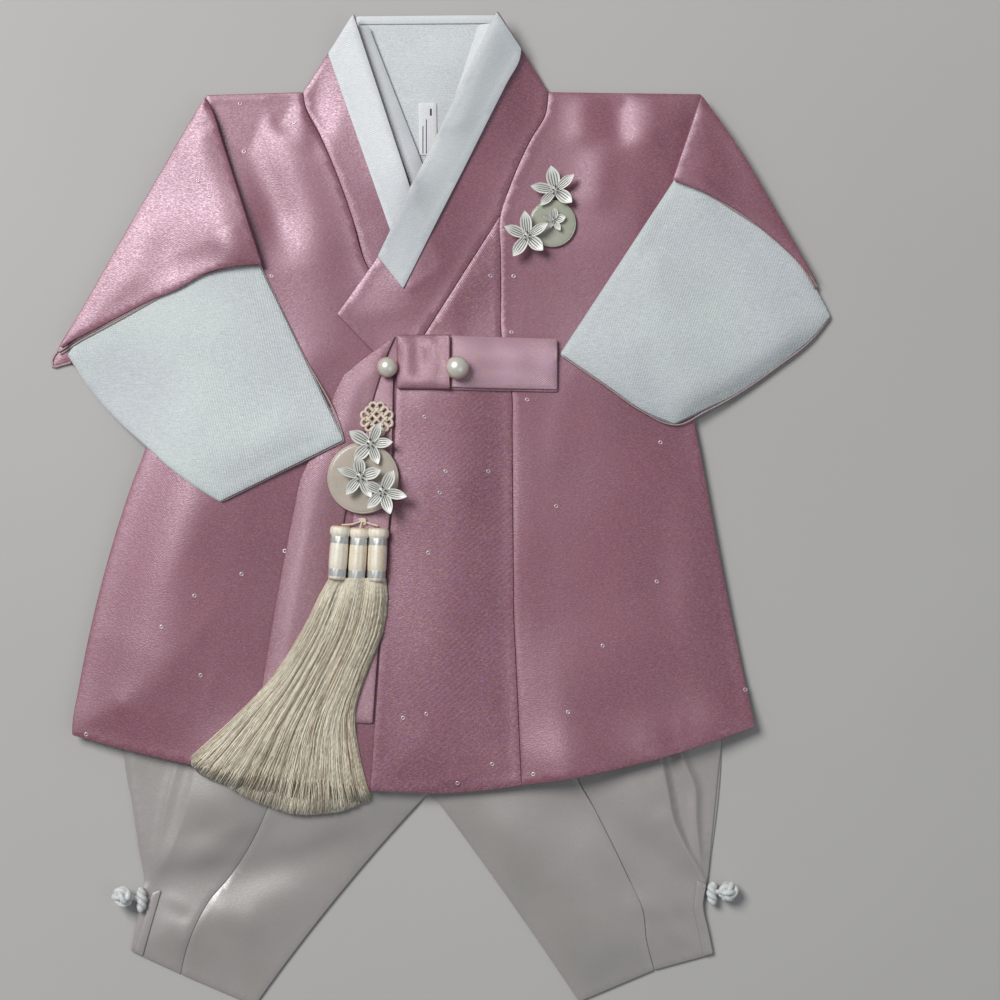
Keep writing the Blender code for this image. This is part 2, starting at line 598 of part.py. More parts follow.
def ribbon(make):
    """The goreum's flat tied knot, its loop to the wearer's left and a pearl at each end."""
    knot = straight((-22.5, 90.5), (-22.5, 62.5), (5.5, 62.0), (5.5, 90.5))
    loop = straight((5.5, 90.0), (5.5, 63.0), (60.5, 62.0), (60.5, 88.5))
    make.panel("ribbon_knot", knot, SATIN, thick=3.0, step=12, crown=1.0, crown_reach=6.0, solid=True)
    make.panel("ribbon_loop", loop, SATIN, thick=2 * RIBBON, step=14, crown=0.6, solid=True)
    make.settle()
    make.ball("pearl_small", (-27.0, 73.5), 5.3, PEARL)
    make.ball("pearl_large", (9.0, 73.0), 6.0, PEARL)
    make.settle()


def norigae(make):
    """The pendant: cord knot, jade disc with three silver flowers, three heads and a skirt."""
    knot = [(-33.5 + (8.0 + 1.2 * math.cos(6 * a)) * math.cos(a),
             47.5 + (9.0 + 1.2 * math.cos(6 * a)) * math.sin(a), 0)
            for a in (math.tau * i / 36 for i in range(36))]
    skirt = [(-57.5, -38.8, 1.0), (-84.5, -84.0, 1.5), (-129.5, -127.0, 0), (-127.0, -132.0, 5.0),
             (-72.0, -156.5, 3.0), (-35.0, -150.0, 0), (-43.0, -127.0, 0), (-43.5, -104.0, 0),
             (-29.0, -60.0, 0), (-27.5, -38.8, 0)]
    make.panel("tassel_skirt", skirt, THREAD, thick=3.0, step=16, crown=3.5, crown_reach=14.0, solid=True)
    make.panel("norigae_knot", knot, THREAD, thick=2.6, step=9, stiff=True)
    make.disc("norigae_disc", (-39.5, 16.5), 18.4, 4.0, JADE)
    make.cord("norigae_cord", [(-39.5, -2.5), (-39.6, -5.0), (-40.2, -8.2)], 0.9, THREAD)
    # Each head's top end, bottom end and radius
    heads = {"tassel_head_right": ((-51.0, -8.6), (-53.3, -38.2), 4.6),
             "tassel_head_middle": ((-41.2, -9.6), (-43.2, -38.2), 4.2),
             "tassel_head_left": ((-31.6, -9.6), (-32.8, -38.2), 4.6)}
    for name, (top, bottom, radius) in heads.items():
        length = math.dist(top, bottom)
        profile = [(0.0, 0.0), (0.4, 0.62 * radius), (1.8, 0.97 * radius), (3.6, radius), (5.2, 0.86 * radius),
                   (6.0, 0.92 * radius), (length - 1.0, 0.92 * radius), (length, 0.8 * radius), (length, 0.0)]
        make.turned(name, top, bottom, profile, THREAD)
    make.settle()
    # Each flower's middle and the tips of its petals
    flowers = {
        "norigae_flower_upper": ((-35.5, 34.0), ((-46.5, 40.5), (-30.5, 45.0), (-24.0, 35.0),
                                                 (-31.5, 23.5), (-44.0, 25.5))),
        "norigae_flower_middle": ((-40.5, 17.0), ((-52.5, 21.5), (-41.5, 27.5), (-30.0, 20.5),
                                                  (-35.0, 6.5), (-48.0, 8.0))),
        "norigae_flower_lower": ((-29.0, 9.5), ((-23.5, 20.5), (-16.5, 7.0), (-25.0, -2.0),
                                                (-37.0, 1.0), (-38.5, 14.0))),
    }
    for name, (centre, tips) in flowers.items():
        make.flower(name, centre, tips, hub=3.2)
        make.settle()


def brooch(make):
    """A smaller jade disc with silver flowers, pinned to the wearer's left chest."""
    middle, reach = (58.5, 149.5), 6.2
    small = tuple((middle[0] + reach * math.cos(a), middle[1] + reach * math.sin(a))
                  for a in (math.tau * (i + 0.2) / 5 for i in range(5)))
    # Each flower's middle, the tips of its petals and its hub's radius
    flowers = {
        "brooch_flower_small": (middle, small, 1.8),
        "brooch_flower_upper": ((59.5, 165.0), ((57.0, 177.5), (69.0, 173.0), (68.0, 158.5),
                                                (51.5, 157.0), (46.5, 167.0)), 2.8),
        "brooch_flower_lower": ((45.0, 141.0), ((43.5, 154.0), (55.5, 147.5), (53.0, 133.5),
                                                (37.5, 130.5), (33.0, 146.0)), 2.8),
    }
    make.disc("brooch_disc", (58.0, 148.0), 12.2, 3.0, JADE)
    make.settle()
    for name, (centre, tips, hub) in flowers.items():
        make.flower(name, centre, tips, hub)
        make.settle()


def ankle_knots(make):
    """A cord knot button outside each ankle, and the loop that holds it."""
    loop, knot = (0.44, 1.0, 0.42), (0.94, 0.98, 0.94)
    make.ball("ankle_loop_right", (-154.9, -201.8), 7.0, CORD, squash=loop, segments=12)
    make.ball("ankle_knot_right", (-164.0, -199.8), 5.7, CORD, squash=knot, segments=14)
    make.ball("ankle_loop_left", (140.3, -198.6), 6.6, CORD, squash=loop, segments=12)
    make.ball("ankle_knot_left", (149.1, -197.5), 5.5, CORD, squash=knot, segments=14)
    make.settle()


def main():
    start_clean()
    collection = bpy.data.collections.new("korean_hanbok")
    bpy.context.scene.collection.children.link(collection)
    make = Maker(collection)
    for garment in (trousers, jacket_back, inner_jacket_neck, jacket_front, ribbon_tail, sleeves, ribbon,
                    norigae, brooch, ankle_knots):
        garment(make)


main()
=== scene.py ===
"""The looks of a one-year-old's hanbok set, laid flat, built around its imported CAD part.

Tables are in millimetres: X runs to the wearer's left, Y to the neck and Z up. Cloth is laid
on a height map in the order in which the set is laid out, so each piece lies on those below it.
"""

import math

import bmesh
import bpy
import numpy as np
from mathutils import Matrix, Vector
from mathutils.geometry import delaunay_2d_cdt


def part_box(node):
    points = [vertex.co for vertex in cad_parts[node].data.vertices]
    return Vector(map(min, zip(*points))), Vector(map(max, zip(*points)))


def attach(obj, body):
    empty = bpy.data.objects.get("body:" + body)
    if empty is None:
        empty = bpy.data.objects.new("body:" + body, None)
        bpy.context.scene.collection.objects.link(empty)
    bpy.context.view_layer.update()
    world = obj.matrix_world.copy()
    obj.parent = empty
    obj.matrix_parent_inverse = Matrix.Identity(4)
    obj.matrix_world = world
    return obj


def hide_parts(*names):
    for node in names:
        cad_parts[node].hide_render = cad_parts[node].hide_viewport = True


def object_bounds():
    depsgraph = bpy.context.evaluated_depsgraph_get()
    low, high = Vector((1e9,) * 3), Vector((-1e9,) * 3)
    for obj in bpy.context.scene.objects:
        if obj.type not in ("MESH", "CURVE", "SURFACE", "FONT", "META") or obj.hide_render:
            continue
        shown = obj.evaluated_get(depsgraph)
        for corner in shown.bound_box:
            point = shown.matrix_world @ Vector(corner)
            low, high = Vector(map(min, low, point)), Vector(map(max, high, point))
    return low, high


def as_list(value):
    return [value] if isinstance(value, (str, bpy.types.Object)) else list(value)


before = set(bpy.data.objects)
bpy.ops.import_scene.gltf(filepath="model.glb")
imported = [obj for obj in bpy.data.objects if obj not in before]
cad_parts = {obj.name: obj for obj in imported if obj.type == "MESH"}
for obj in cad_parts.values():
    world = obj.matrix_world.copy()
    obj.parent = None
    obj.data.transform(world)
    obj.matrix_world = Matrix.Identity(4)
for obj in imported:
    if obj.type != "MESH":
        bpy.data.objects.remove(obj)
CAD_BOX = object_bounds()

MM = 0.001                  # the tables' unit, in metres
CELL = 0.8                  # grid of the height map
MARGIN = 8.0                # map kept around the set and around each piece
GAP = 0.15                  # air between layers
SEAM = 0.15                 # how far an outline is let out, to close its seams
FINE, HIDDEN = ((2.4, 4.5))     # spacing of cloth points
LOFT_REACH = 40.0           # depth from the rim at which cloth is fully lofted
THREADS = ("thread", "cream", "wound", "cord", "dark")      # finishes that read a tone attribute

# By the first word of a finish's name: how thick its cloth is
WALLS = {"rose": 0.85, "white": 0.65, "greige": 0.75}


# Camera, light and floor

VIEW_CENTRE = (30.9, 5.2)
VIEW_HEIGHT, LENS, SENSOR = 1300.0, 90.0, 36.0


def stand_camera():
    data = bpy.data.cameras.new("camera")
    data.lens, data.sensor_width = LENS, SENSOR
    item = bpy.data.objects.new("camera", data)
    item.location = (VIEW_CENTRE[0] * MM, VIEW_CENTRE[1] * MM, VIEW_HEIGHT * MM)
    bpy.context.scene.collection.objects.link(item)
    bpy.context.scene.camera = item


def softbox(name, place, size, watts, colour):
    data = bpy.data.lights.new(name, "AREA")
    data.shape, data.size, data.energy, data.color = "DISK", size, watts, colour
    item = bpy.data.objects.new(name, data)
    item.location = place
    item.rotation_euler = (-Vector(place)).to_track_quat("-Z", "Y").to_euler()
    bpy.context.scene.collection.objects.link(item)


def light_studio():
    softbox("key", (-0.98, 0.92, 1.72), 1.05, 36.5, (1.0, 0.985, 0.965))
    softbox("fill", (0.9, -0.5, 1.3), 1.2, 1.6, (0.93, 0.96, 1.0))
    world = bpy.data.worlds.new("studio")
    world.use_nodes = True
    world.node_tree.nodes["Background"].inputs["Color"].default_value = (0.92, 0.95, 1.0, 1.0)
    world.node_tree.nodes["Background"].inputs["Strength"].default_value = 0.21
    bpy.context.scene.world = world
    bpy.context.scene.view_settings.view_transform = "Standard"


# Materials

class Finish:
    """One material, with its nodes added one at a time."""

    def __init__(self, name, **constants):
        self.material = bpy.data.materials.new(name)
        self.material.use_nodes = True
        self.tree = self.material.node_tree
        self.shader = self.tree.nodes["Principled BSDF"]
        for socket, value in constants.items():
            self.shader.inputs[socket.replace("_", " ")].default_value = value
        self.place = self.node("ShaderNodeTexCoord").outputs["Object"]

    def node(self, kind, settings=None, **inputs):
        node = self.tree.nodes.new(kind)
        for key, value in (settings or {}).items():
            setattr(node, key, value)
        for key, value in inputs.items():
            self.feed(node.inputs[key.replace("_", " ")], value)
        return node

    def feed(self, socket, value):
        if isinstance(value, bpy.types.NodeSocket):
            self.tree.links.new(value, socket)
        else:
            socket.default_value = value

    def turned(self, angle, scale=(1, 1, 1)):
        """The place, turned about Z and stretched."""
        return self.node("ShaderNodeMapping", Vector=self.place, Rotation=(0, 0, math.radians(angle)),
                         Scale=scale).outputs["Vector"]

    def noise(self, vector, scale, detail=2.0, roughness=0.5):
        return self.node("ShaderNodeTexNoise", Vector=vector, Scale=scale, Detail=detail,
                         Roughness=roughness).outputs["Fac"]

    def wave(self, vector, pitch, direction="X", distortion=0.0):
        """Bands a pitch apart, in metres."""
        return self.node("ShaderNodeTexWave", {"bands_direction": direction}, Vector=vector,
                         Scale=math.tau / (20 * pitch), Distortion=distortion).outputs["Fac"]

    def maths(self, operation, first, second=0.0):
        node = self.node("ShaderNodeMath", {"operation": operation})
        self.feed(node.inputs[0], first)
        self.feed(node.inputs[1], second)
        return node.outputs[0]

    def spread(self, value, low, high, to_low=0.0, to_high=1.0):
        return self.node("ShaderNodeMapRange", Value=value, From_Min=low, From_Max=high, To_Min=to_low,
                         To_Max=to_high).outputs[0]

    def mix(self, share, first, second):
        node = self.node("ShaderNodeMix", {"data_type": "RGBA"})
        self.feed(node.inputs[0], share)
        self.feed(node.inputs[6], first)
        self.feed(node.inputs[7], second)
        return node.outputs[2]

    def colour(self, value):
        self.feed(self.shader.inputs["Base Color"], value)

    def rough(self, value):
        self.feed(self.shader.inputs["Roughness"], value)

    def bump(self, height, strength, distance):
        bump = self.node("ShaderNodeBump", Height=height, Strength=strength, Distance=distance)
        self.feed(self.shader.inputs["Normal"], bump.outputs["Normal"])


def rgb(*values):
    return (*values, 1.0)


def darker(colour, share):
    return rgb(*(share * channel for channel in colour))


def satin(name, angle, dark, light, glint, roughness, grain=0.42, twill=0.28, shot=0.0, moire=0.0,
          relief=0.55, stretch=2.4, **constants):
    """Woven satin: crepe grain and a fine twill at an angle, and slow changes of tone.

    shot is how far the grain's flecks turn towards lilac and gold, moire how far soft
    slanting bands show, relief how rough the weave stands and stretch how long its slubs are.
    """
    finish = Finish(name, **constants)
    slub = finish.noise(finish.turned(angle, (2.4 / stretch, 2.4, 1.0)), 760.0, 2.0, 0.6)
    pebble = finish.noise(finish.turned(angle + 35, (1.0, 1.7, 1.0)), 1300.0, 1.0, 0.5)
    ribs = finish.wave(finish.turned(angle + 90), 0.00085, "X", 1.2)
    cloudy = finish.noise(finish.place, 16.0, 3.0, 0.55)
    tone = finish.mix(finish.spread(cloudy, 0.33, 0.67), rgb(*dark), rgb(*light))
    tone = finish.mix(finish.spread(slub, 0.42, 0.68, 0.0, grain), tone, rgb(*glint))
    tone = finish.mix(finish.spread(pebble, 0.30, 0.55, grain, 0.0), tone, darker(dark, 0.6))
    if shot:
        hue = finish.noise(finish.turned(angle - 40, (1.0, 2.0, 1.0)), 540.0, 1.0, 0.5)
        tone = finish.mix(finish.spread(hue, 0.55, 0.72, 0.0, shot), tone, rgb(0.42, 0.27, 0.47))
        tone = finish.mix(finish.spread(hue, 0.45, 0.28, 0.0, shot), tone, rgb(0.50, 0.33, 0.22))
    if moire:
        bands = finish.wave(finish.turned(50), 0.0023, "X", 1.6)
        patches = finish.spread(finish.noise(finish.place, 38.0), 0.35, 0.65, 0.0, moire)
        tone = finish.mix(finish.maths("MULTIPLY", bands, patches), tone, rgb(*glint))
    finish.colour(tone)
    finish.rough(finish.spread(slub, 0.35, 0.7, roughness + 0.09, roughness - 0.07))
    weave = finish.maths("ADD", finish.maths("MULTIPLY", ribs, twill), finish.maths("MULTIPLY", slub, 0.9))
    finish.bump(weave, relief, 0.00026)
    return finish.material


def pearl_finish():
    finish = Finish("pearl", Metallic=0.5, Coat_Weight=0.5, Coat_Roughness=0.06, Sheen_Weight=0.2)
    swirl = finish.noise(finish.place, 160.0, 3.0, 0.6)
    # Painted shade: the nacre is browner and darker where the pearl's surface turns away from straight up,
    # and palest on its top.
    upward = finish.node("ShaderNodeSeparateXYZ",
                         Vector=finish.node("ShaderNodeTexCoord").outputs["Normal"])
    side = finish.spread(upward.outputs["Z"], 0.25, 0.75)
    nacre_painted_shade = finish.mix(side, rgb(0.66, 0.50, 0.38), rgb(0.92, 0.90, 0.80))
    finish.colour(finish.mix(finish.spread(swirl, 0.35, 0.75, 0.0, 0.35), nacre_painted_shade, rgb(0.80, 0.80, 0.74)))
    finish.rough(finish.spread(swirl, 0.3, 0.7, 0.24, 0.38))
    finish.bump(finish.noise(finish.place, 900.0, 2.0), 0.06, 0.0001)
    return finish.material


def jade_finish(name, first, second, vein_colour):
    finish = Finish(name, Coat_Weight=0.5, Coat_Roughness=0.15, Subsurface_Weight=0.3,
                    Subsurface_Scale=0.004, Subsurface_Radius=(0.8, 0.9, 0.6))
    cloud = finish.noise(finish.place, 55.0, 4.0, 0.6)
    vein = finish.noise(finish.turned(30, (1, 3.5, 1)), 120.0, 3.0, 0.7)
    tone = finish.mix(finish.spread(cloud, 0.35, 0.65), rgb(*first), rgb(*second))
    finish.colour(finish.mix(finish.spread(vein, 0.52, 0.72, 0.0, 0.5), tone, rgb(*vein_colour)))
    finish.rough(finish.spread(cloud, 0.3, 0.7, 0.24, 0.38))
    finish.bump(vein, 0.06, 0.0002)
    return finish.material


def silver_finish(name, groove_shade_colour, bright, metallic, roughness=0.26):
    """Brushed silver plate, with painted shade in its grooves, read from an attribute of the mesh."""
    finish = Finish(name, Metallic=metallic)
    groove_shade = finish.node("ShaderNodeAttribute", {"attribute_name": "groove_shade"}).outputs["Fac"]
    brushed = finish.noise(finish.turned(20, (1, 6, 1)), 900.0, 2.0)
    plate = finish.mix(finish.spread(brushed, 0.3, 0.7, 0.0, 0.4), rgb(*bright), darker(bright, 0.8))
    # Painted shade: the plate turns to the dark groove colour where the mesh marks its grooves.
    finish.colour(finish.mix(groove_shade, plate, rgb(*groove_shade_colour)))
    finish.rough(finish.spread(brushed, 0.3, 0.7, roughness, roughness + 0.16))
    finish.bump(brushed, 0.12, 0.0001)
    return finish.material


def thread_finish(name, dark, light, pitch, roughness=0.42):
    """Silk thread or twisted cord, its tone from the mesh's own tone attribute, which in some pieces
    carries painted shade.
    """
    finish = Finish(name, Sheen_Weight=0.3, Sheen_Roughness=0.35)
    strand = finish.noise(finish.turned(0), 420.0, 2.0, 0.6)
    own = finish.node("ShaderNodeAttribute", {"attribute_name": "tone"}).outputs["Fac"]
    share = finish.maths("ADD", own, finish.spread(strand, 0.3, 0.7, -0.15, 0.15))
    finish.colour(finish.mix(share, rgb(*dark), rgb(*light)))
    finish.rough(finish.spread(strand, 0.3, 0.7, roughness - 0.06, roughness + 0.1))
    twist = finish.wave(finish.node("ShaderNodeMapping", Vector=finish.place,
                                    Rotation=(0.6, 0.6, 0.8)).outputs["Vector"], pitch, "X", 0.6)
    finish.bump(twist, 0.3, 0.0002)
    return finish.material


# Each cloth's colours (dark, light and glint) and weave, for satin()
ROSE = dict(dark=(0.185, 0.040, 0.062), light=(0.235, 0.056, 0.084), glint=(0.50, 0.26, 0.36),
            roughness=0.42,
            grain=0.42, twill=0.12, shot=0.18, relief=0.42, Sheen_Weight=0.10, Sheen_Roughness=0.4,
            Sheen_Tint=rgb(0.95, 0.72, 0.86), Specular_IOR_Level=1.0, IOR=1.78,
            Specular_Tint=rgb(1.0, 0.82, 0.95))
GORE = ROSE | dict(shot=0.42, moire=0.2, twill=0.35, relief=0.55)
RIBBON = ROSE | dict(dark=(0.22, 0.07, 0.09), light=(0.30, 0.115, 0.145), shot=0.4, twill=0.5, relief=0.7)
# Painted highlight: the ribbon's satin painted much lighter for the bow's loop, whose under layer keeps
# the ribbon's colours.
LOOP_LIT = ROSE | dict(dark=(0.40, 0.22, 0.26), light=(0.52, 0.31, 0.36), shot=0.75, moire=0.6, twill=0.6,
                   relief=0.8)
LINING = dict(dark=(0.40, 0.29, 0.29), light=(0.50, 0.39, 0.39), glint=(0.6, 0.5, 0.5), roughness=0.5)
WHITE = dict(dark=(0.61, 0.65, 0.70), light=(0.69, 0.76, 0.745), glint=(0.86, 0.91, 0.91), roughness=0.54,
             grain=0.4, twill=0.5, relief=0.95, stretch=7.0, Sheen_Weight=0.12, Sheen_Roughness=0.4,
             Specular_IOR_Level=0.5)
INNER = WHITE | dict(dark=(0.63, 0.67, 0.72), light=(0.70, 0.76, 0.75), relief=0.35, stretch=3.0)
# Painted highlight and shade: the next row is the white satin painted lighter, for the strips, facings and
# inner collars, and the row after it the same cloth painted darker, for the over strip.
STRIP_LIT = WHITE | dict(dark=(0.74, 0.78, 0.83), light=(0.79, 0.83, 0.85), roughness=0.42, grain=0.2,
                     relief=0.6)
OVER_SHADED = STRIP_LIT | dict(dark=(0.60, 0.635, 0.675), light=(0.65, 0.69, 0.715))
LABEL = dict(dark=(0.78, 0.80, 0.82), light=(0.82, 0.84, 0.86), glint=(0.9, 0.9, 0.9), roughness=0.5,
             grain=0.2)
INK = dict(dark=(0.03, 0.03, 0.035), light=(0.05, 0.05, 0.055), glint=(0.1, 0.1, 0.1), roughness=0.6)
GREIGE = dict(dark=(0.325, 0.311, 0.290), light=(0.400, 0.364, 0.357), glint=(0.46, 0.44, 0.425),
              roughness=0.37, grain=0.18, twill=0.10, relief=0.22, Sheen_Weight=0.15, Sheen_Roughness=0.4,
              Specular_IOR_Level=1.0, IOR=1.75)
# Each cloth's grain, turned this many degrees from X
CLOTHS = {
    "rose": (58, ROSE), "rose_sleeve_right": (28, ROSE), "rose_sleeve_left": (-28, ROSE),
    "rose_collar": (105, ROSE | dict(twill=0.0)), "rose_gore": (58, GORE), "rose_ribbon": (-35, RIBBON),
    "rose_loop": (-35, LOOP_LIT), "rose_lining": (0, LINING), "white": (0, INNER),
    "white_sleeve_right": (98, WHITE), "white_sleeve_left": (78, WHITE), "white_strip": (25, STRIP_LIT),
    "white_over": (62, OVER_SHADED), "label": (90, LABEL), "greige": (80, GREIGE), "ink": (0, INK)}


def make_materials():
    finishes = {name: satin(name, angle, **weave) for name, (angle, weave) in CLOTHS.items()}
    return finishes | {
        "pearl": pearl_finish(),
        "jade": jade_finish("jade_rose", (0.50, 0.46, 0.38), (0.57, 0.49, 0.43), (0.60, 0.56, 0.50)),
        "jade_pale": jade_finish("jade_green", (0.41, 0.44, 0.35), (0.47, 0.46, 0.39), (0.52, 0.56, 0.47)),
        "silver": silver_finish("silver", (0.09, 0.10, 0.075), (1.0, 1.0, 0.96), 0.05, 0.22),
        "foil": silver_finish("foil", (0.10, 0.10, 0.10), (0.66, 0.68, 0.67), 0.6, 0.46),
        "sequin": silver_finish("sequin", (0.10, 0.10, 0.10), (0.62, 0.50, 0.52), 0.4),
        "thread": thread_finish("tassel_thread", (0.36, 0.24, 0.125), (1.0, 0.94, 0.77), 0.0012),
        "cream": thread_finish("cream_thread", (0.58, 0.45, 0.34), (0.95, 0.85, 0.71), 0.0006),
        "wound": thread_finish("wound_thread", (0.74, 0.57, 0.37), (1.0, 0.97, 0.86), 0.0006, 0.30),
        "cord": thread_finish("white_cord", (0.58, 0.61, 0.61), (0.76, 0.78, 0.78), 0.0011),
        "dark": thread_finish("stamen", (0.03, 0.03, 0.02), (0.07, 0.065, 0.05), 0.001),
    }


# Outlines, read from the CAD plates

CORNER = math.radians(24)   # a sharper turn than this stays a corner


def outline_of(node):
    """The plan outline of a CAD plate, counter-clockwise, in millimetres."""
    work = bmesh.new()
    work.from_mesh(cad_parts[node].data)
    bmesh.ops.remove_doubles(work, verts=work.verts, dist=1e-5)
    rim = {}
    for edge in work.edges:
        below = [face for face in edge.link_faces if face.normal.z < -0.3]
        if len(edge.link_faces) == 2 and len(below) == 1:
            for a, b in (edge.verts, reversed(edge.verts)):
                rim.setdefault(a.index, []).append(b.index)
    places = {vert.index: (vert.co.x / MM, vert.co.y / MM) for vert in work.verts}
    loops = []
    while rim:
        here = next(iter(rim))
        loop = []
        while here in rim:
            loop.append(here)
            onward = [other for other in rim.pop(here) if other in rim]
            if not onward:
                break
            here = onward[0]
        loops.append(loop)
    work.free()
    points = np.array([places[i] for i in max(loops, key=len)])
    return points if area_of(points) > 0 else points[::-1]


def area_of(points):
    x, y = points.T
    return 0.5 * float((x * np.roll(y, -1) - np.roll(x, -1) * y).sum())


def unit(vectors):
    return vectors / np.maximum(np.linalg.norm(vectors, axis=-1, keepdims=True), 1e-9)


def inset(points, distance):
    """An outline moved inwards by a distance, or outwards by a negative one."""
    way_in, way_out = unit(points - np.roll(points, 1, 0)), unit(np.roll(points, -1, 0) - points)
    left = np.stack([-way_in[:, 1], way_in[:, 0]], axis=1)
    normal = unit(left + np.stack([-way_out[:, 1], way_out[:, 0]], axis=1))
    return points + normal * (distance / np.maximum(0.5, (normal * left).sum(1)))[:, None]


def curve_through(points, step, loop=False):
    """Points a step or less apart on a smooth curve through some points."""
    points = np.asarray(points, float)
    if loop:
        points = np.vstack([points[-1:], points, points[:2]])
    else:
        points = np.vstack([2 * points[:1] - points[1:2], points, 2 * points[-1:] - points[-2:-1]])
    sizes = np.linalg.norm(np.diff(points, axis=0), axis=1)
    slopes = np.diff(points, axis=0) / sizes[:, None]
    share = (sizes[:-1] / (sizes[:-1] + sizes[1:]))[:, None]
    tangents = slopes[:-1] * (1 - share) + slopes[1:] * share
    result = []
    for i in range(1, len(points) - 2):
        size = sizes[i]
        t = np.arange(max(1, math.ceil(size / step)))[:, None] / max(1, math.ceil(size / step))
        result.append((2 * t ** 3 - 3 * t ** 2 + 1) * points[i]
                      + (t ** 3 - 2 * t ** 2 + t) * size * tangents[i - 1]
                      + (3 * t ** 2 - 2 * t ** 3) * points[i + 1] + (t ** 3 - t ** 2) * size * tangents[i])
    if not loop:
        result.append(points[-2:-1])
    return np.vstack(result)


def smooth_outline(points, step):
    """An outline with its arcs made round and its corners barely eased."""
    way_in, way_out = unit(points - np.roll(points, 1, 0)), unit(np.roll(points, -1, 0) - points)
    turn = np.abs(np.arctan2(way_in[:, 0] * way_out[:, 1] - way_in[:, 1] * way_out[:, 0],
                             (way_in * way_out).sum(1)))
    corners = np.nonzero(turn > CORNER)[0]
    if not len(corners):
        return curve_through(points, step, loop=True)
    points = np.roll(points, -corners[0], axis=0)
    stops = list(corners - corners[0]) + [len(points)]
    closed = np.vstack([points, points[:1]])
    runs = [curve_through(closed[a:b + 1], step)[:-1] for a, b in zip(stops, stops[1:])]
    eased = []
    for before, run in zip(runs[-1:] + runs[:-1], runs):
        corner, last, onward = run[0], before[-1], run[min(1, len(run) - 1)]
        first_cut, second_cut = (corner + 0.8 * unit(other - corner) for other in (last, onward))
        eased += [first_cut[None], (first_cut + 2 * corner + second_cut)[None] / 4, second_cut[None],
                  run[1:]]
    return np.vstack(eased)


def cut_of(outline):
    """Width, length and area of the smallest upright or turned rectangle's piece, in metres."""
    best = None
    for angle in np.radians(np.arange(0, 180, 3)):
        turned = outline @ np.array([[math.cos(angle), -math.sin(angle)],
                                     [math.sin(angle), math.cos(angle)]])
        width, length = np.ptp(turned, axis=0) * MM
        if best is None or width * length < best[0] * best[1]:
            best = (float(width), float(length))
    return (*sorted(best), abs(area_of(outline)) * MM * MM)


# Height maps

def fill(outline, xs, ys):
    """The cells inside an outline."""
    mask = np.zeros((len(ys), len(xs)), bool)
    for (x0, y0), (x1, y1) in zip(outline, np.roll(outline, -1, 0)):
        rows = np.nonzero((ys >= min(y0, y1)) & (ys < max(y0, y1)))[0]
        if len(rows):
            crossing = x0 + (ys[rows] - y0) * (x1 - x0) / (y1 - y0)
            mask[rows] ^= xs[None, :] > crossing[:, None]
    return mask


def near_cells(field, take, diagonal=True):
    """Each cell's highest or lowest value among its neighbours."""
    result = field
    for axis in (0, 1):
        base = result if diagonal else field
        for step in (-1, 1):
            result = take(result, np.roll(base, step, axis=axis))
    return result


def blur(field, reach):
    size = max(1, round(reach / CELL))
    for axis in (0, 1) * 2:
        pads = [(size + 1, size) if a == axis else (0, 0) for a in (0, 1)]
        sums = np.cumsum(np.pad(field, pads, mode="edge"), axis=axis)
        span = 2 * size + 1
        ahead = np.take(sums, np.arange(span, sums.shape[axis]), axis=axis)
        behind = np.take(sums, np.arange(sums.shape[axis] - span), axis=axis)
        field = (ahead - behind) / span
    return field


def depth_of(mask, most):
    """How deep each cell lies inside a mask, up to a most."""
    depth = np.zeros(mask.shape)
    inside = mask
    for i in range(round(most / CELL)):
        depth += inside * CELL
        inside = near_cells(inside, np.logical_and, diagonal=bool(i % 2))
    return blur(depth, CELL)


def sample(field, xs, ys, points):
    u = np.clip((points[:, 0] - xs[0]) / CELL, 0, len(xs) - 1.001)
    v = np.clip((points[:, 1] - ys[0]) / CELL, 0, len(ys) - 1.001)
    i, j = u.astype(int), v.astype(int)
    s, t = u - i, v - j
    return ((field[j, i] * (1 - s) + field[j, i + 1] * s) * (1 - t)
            + (field[j + 1, i] * (1 - s) + field[j + 1, i + 1] * s) * t)


def ridge(xs, ys, line, height, left, right, start=0.0, end=0.0):
    """A soft ridge, or a trough if its height is negative, along a line.

    left and right are its half widths on each side of the way along the line, and start
    and end the shares of its height that it keeps at its ends.
    """
    x, y = np.meshgrid(xs, ys)
    line = curve_through(line, 6.0)
    sizes = np.linalg.norm(np.diff(line, axis=0), axis=1)
    gone, total = 0.0, sizes.sum()
    nearest, width, along = np.full(x.shape, np.inf), np.ones(x.shape), np.zeros(x.shape)
    for (x0, y0), (x1, y1), size in zip(line, line[1:], sizes):
        dx, dy = (x1 - x0) / size, (y1 - y0) / size
        t = np.clip((x - x0) * dx + (y - y0) * dy, 0, size)
        away = np.hypot(x - x0 - t * dx, y - y0 - t * dy)
        closer = away < nearest
        side = (y - y0) * dx - (x - x0) * dy
        nearest = np.where(closer, away, nearest)
        width = np.where(closer, np.where(side > 0, left, right), width)
        along = np.where(closer, (gone + t) / total, along)
        gone += size
    fade = np.clip(np.minimum(start + along / 0.35, end + (1 - along) / 0.35), 0, 1)
    return height * np.exp(-(nearest / width) ** 2) * fade * fade * (3 - 2 * fade)


def swell(xs, ys, seed, wavelength, height):
    """Slow uneven waves."""
    x, y = np.meshgrid(xs, ys)
    chance = np.random.default_rng(seed)
    total = np.zeros(x.shape)
    for _ in range(7):
        angle, phase = chance.uniform(0, math.tau, 2)
        pitch = math.tau / (wavelength * chance.uniform(0.7, 1.6))
        total += np.sin(pitch * (x * math.cos(angle) + y * math.sin(angle)) + phase)
    return height * total / math.sqrt(7)


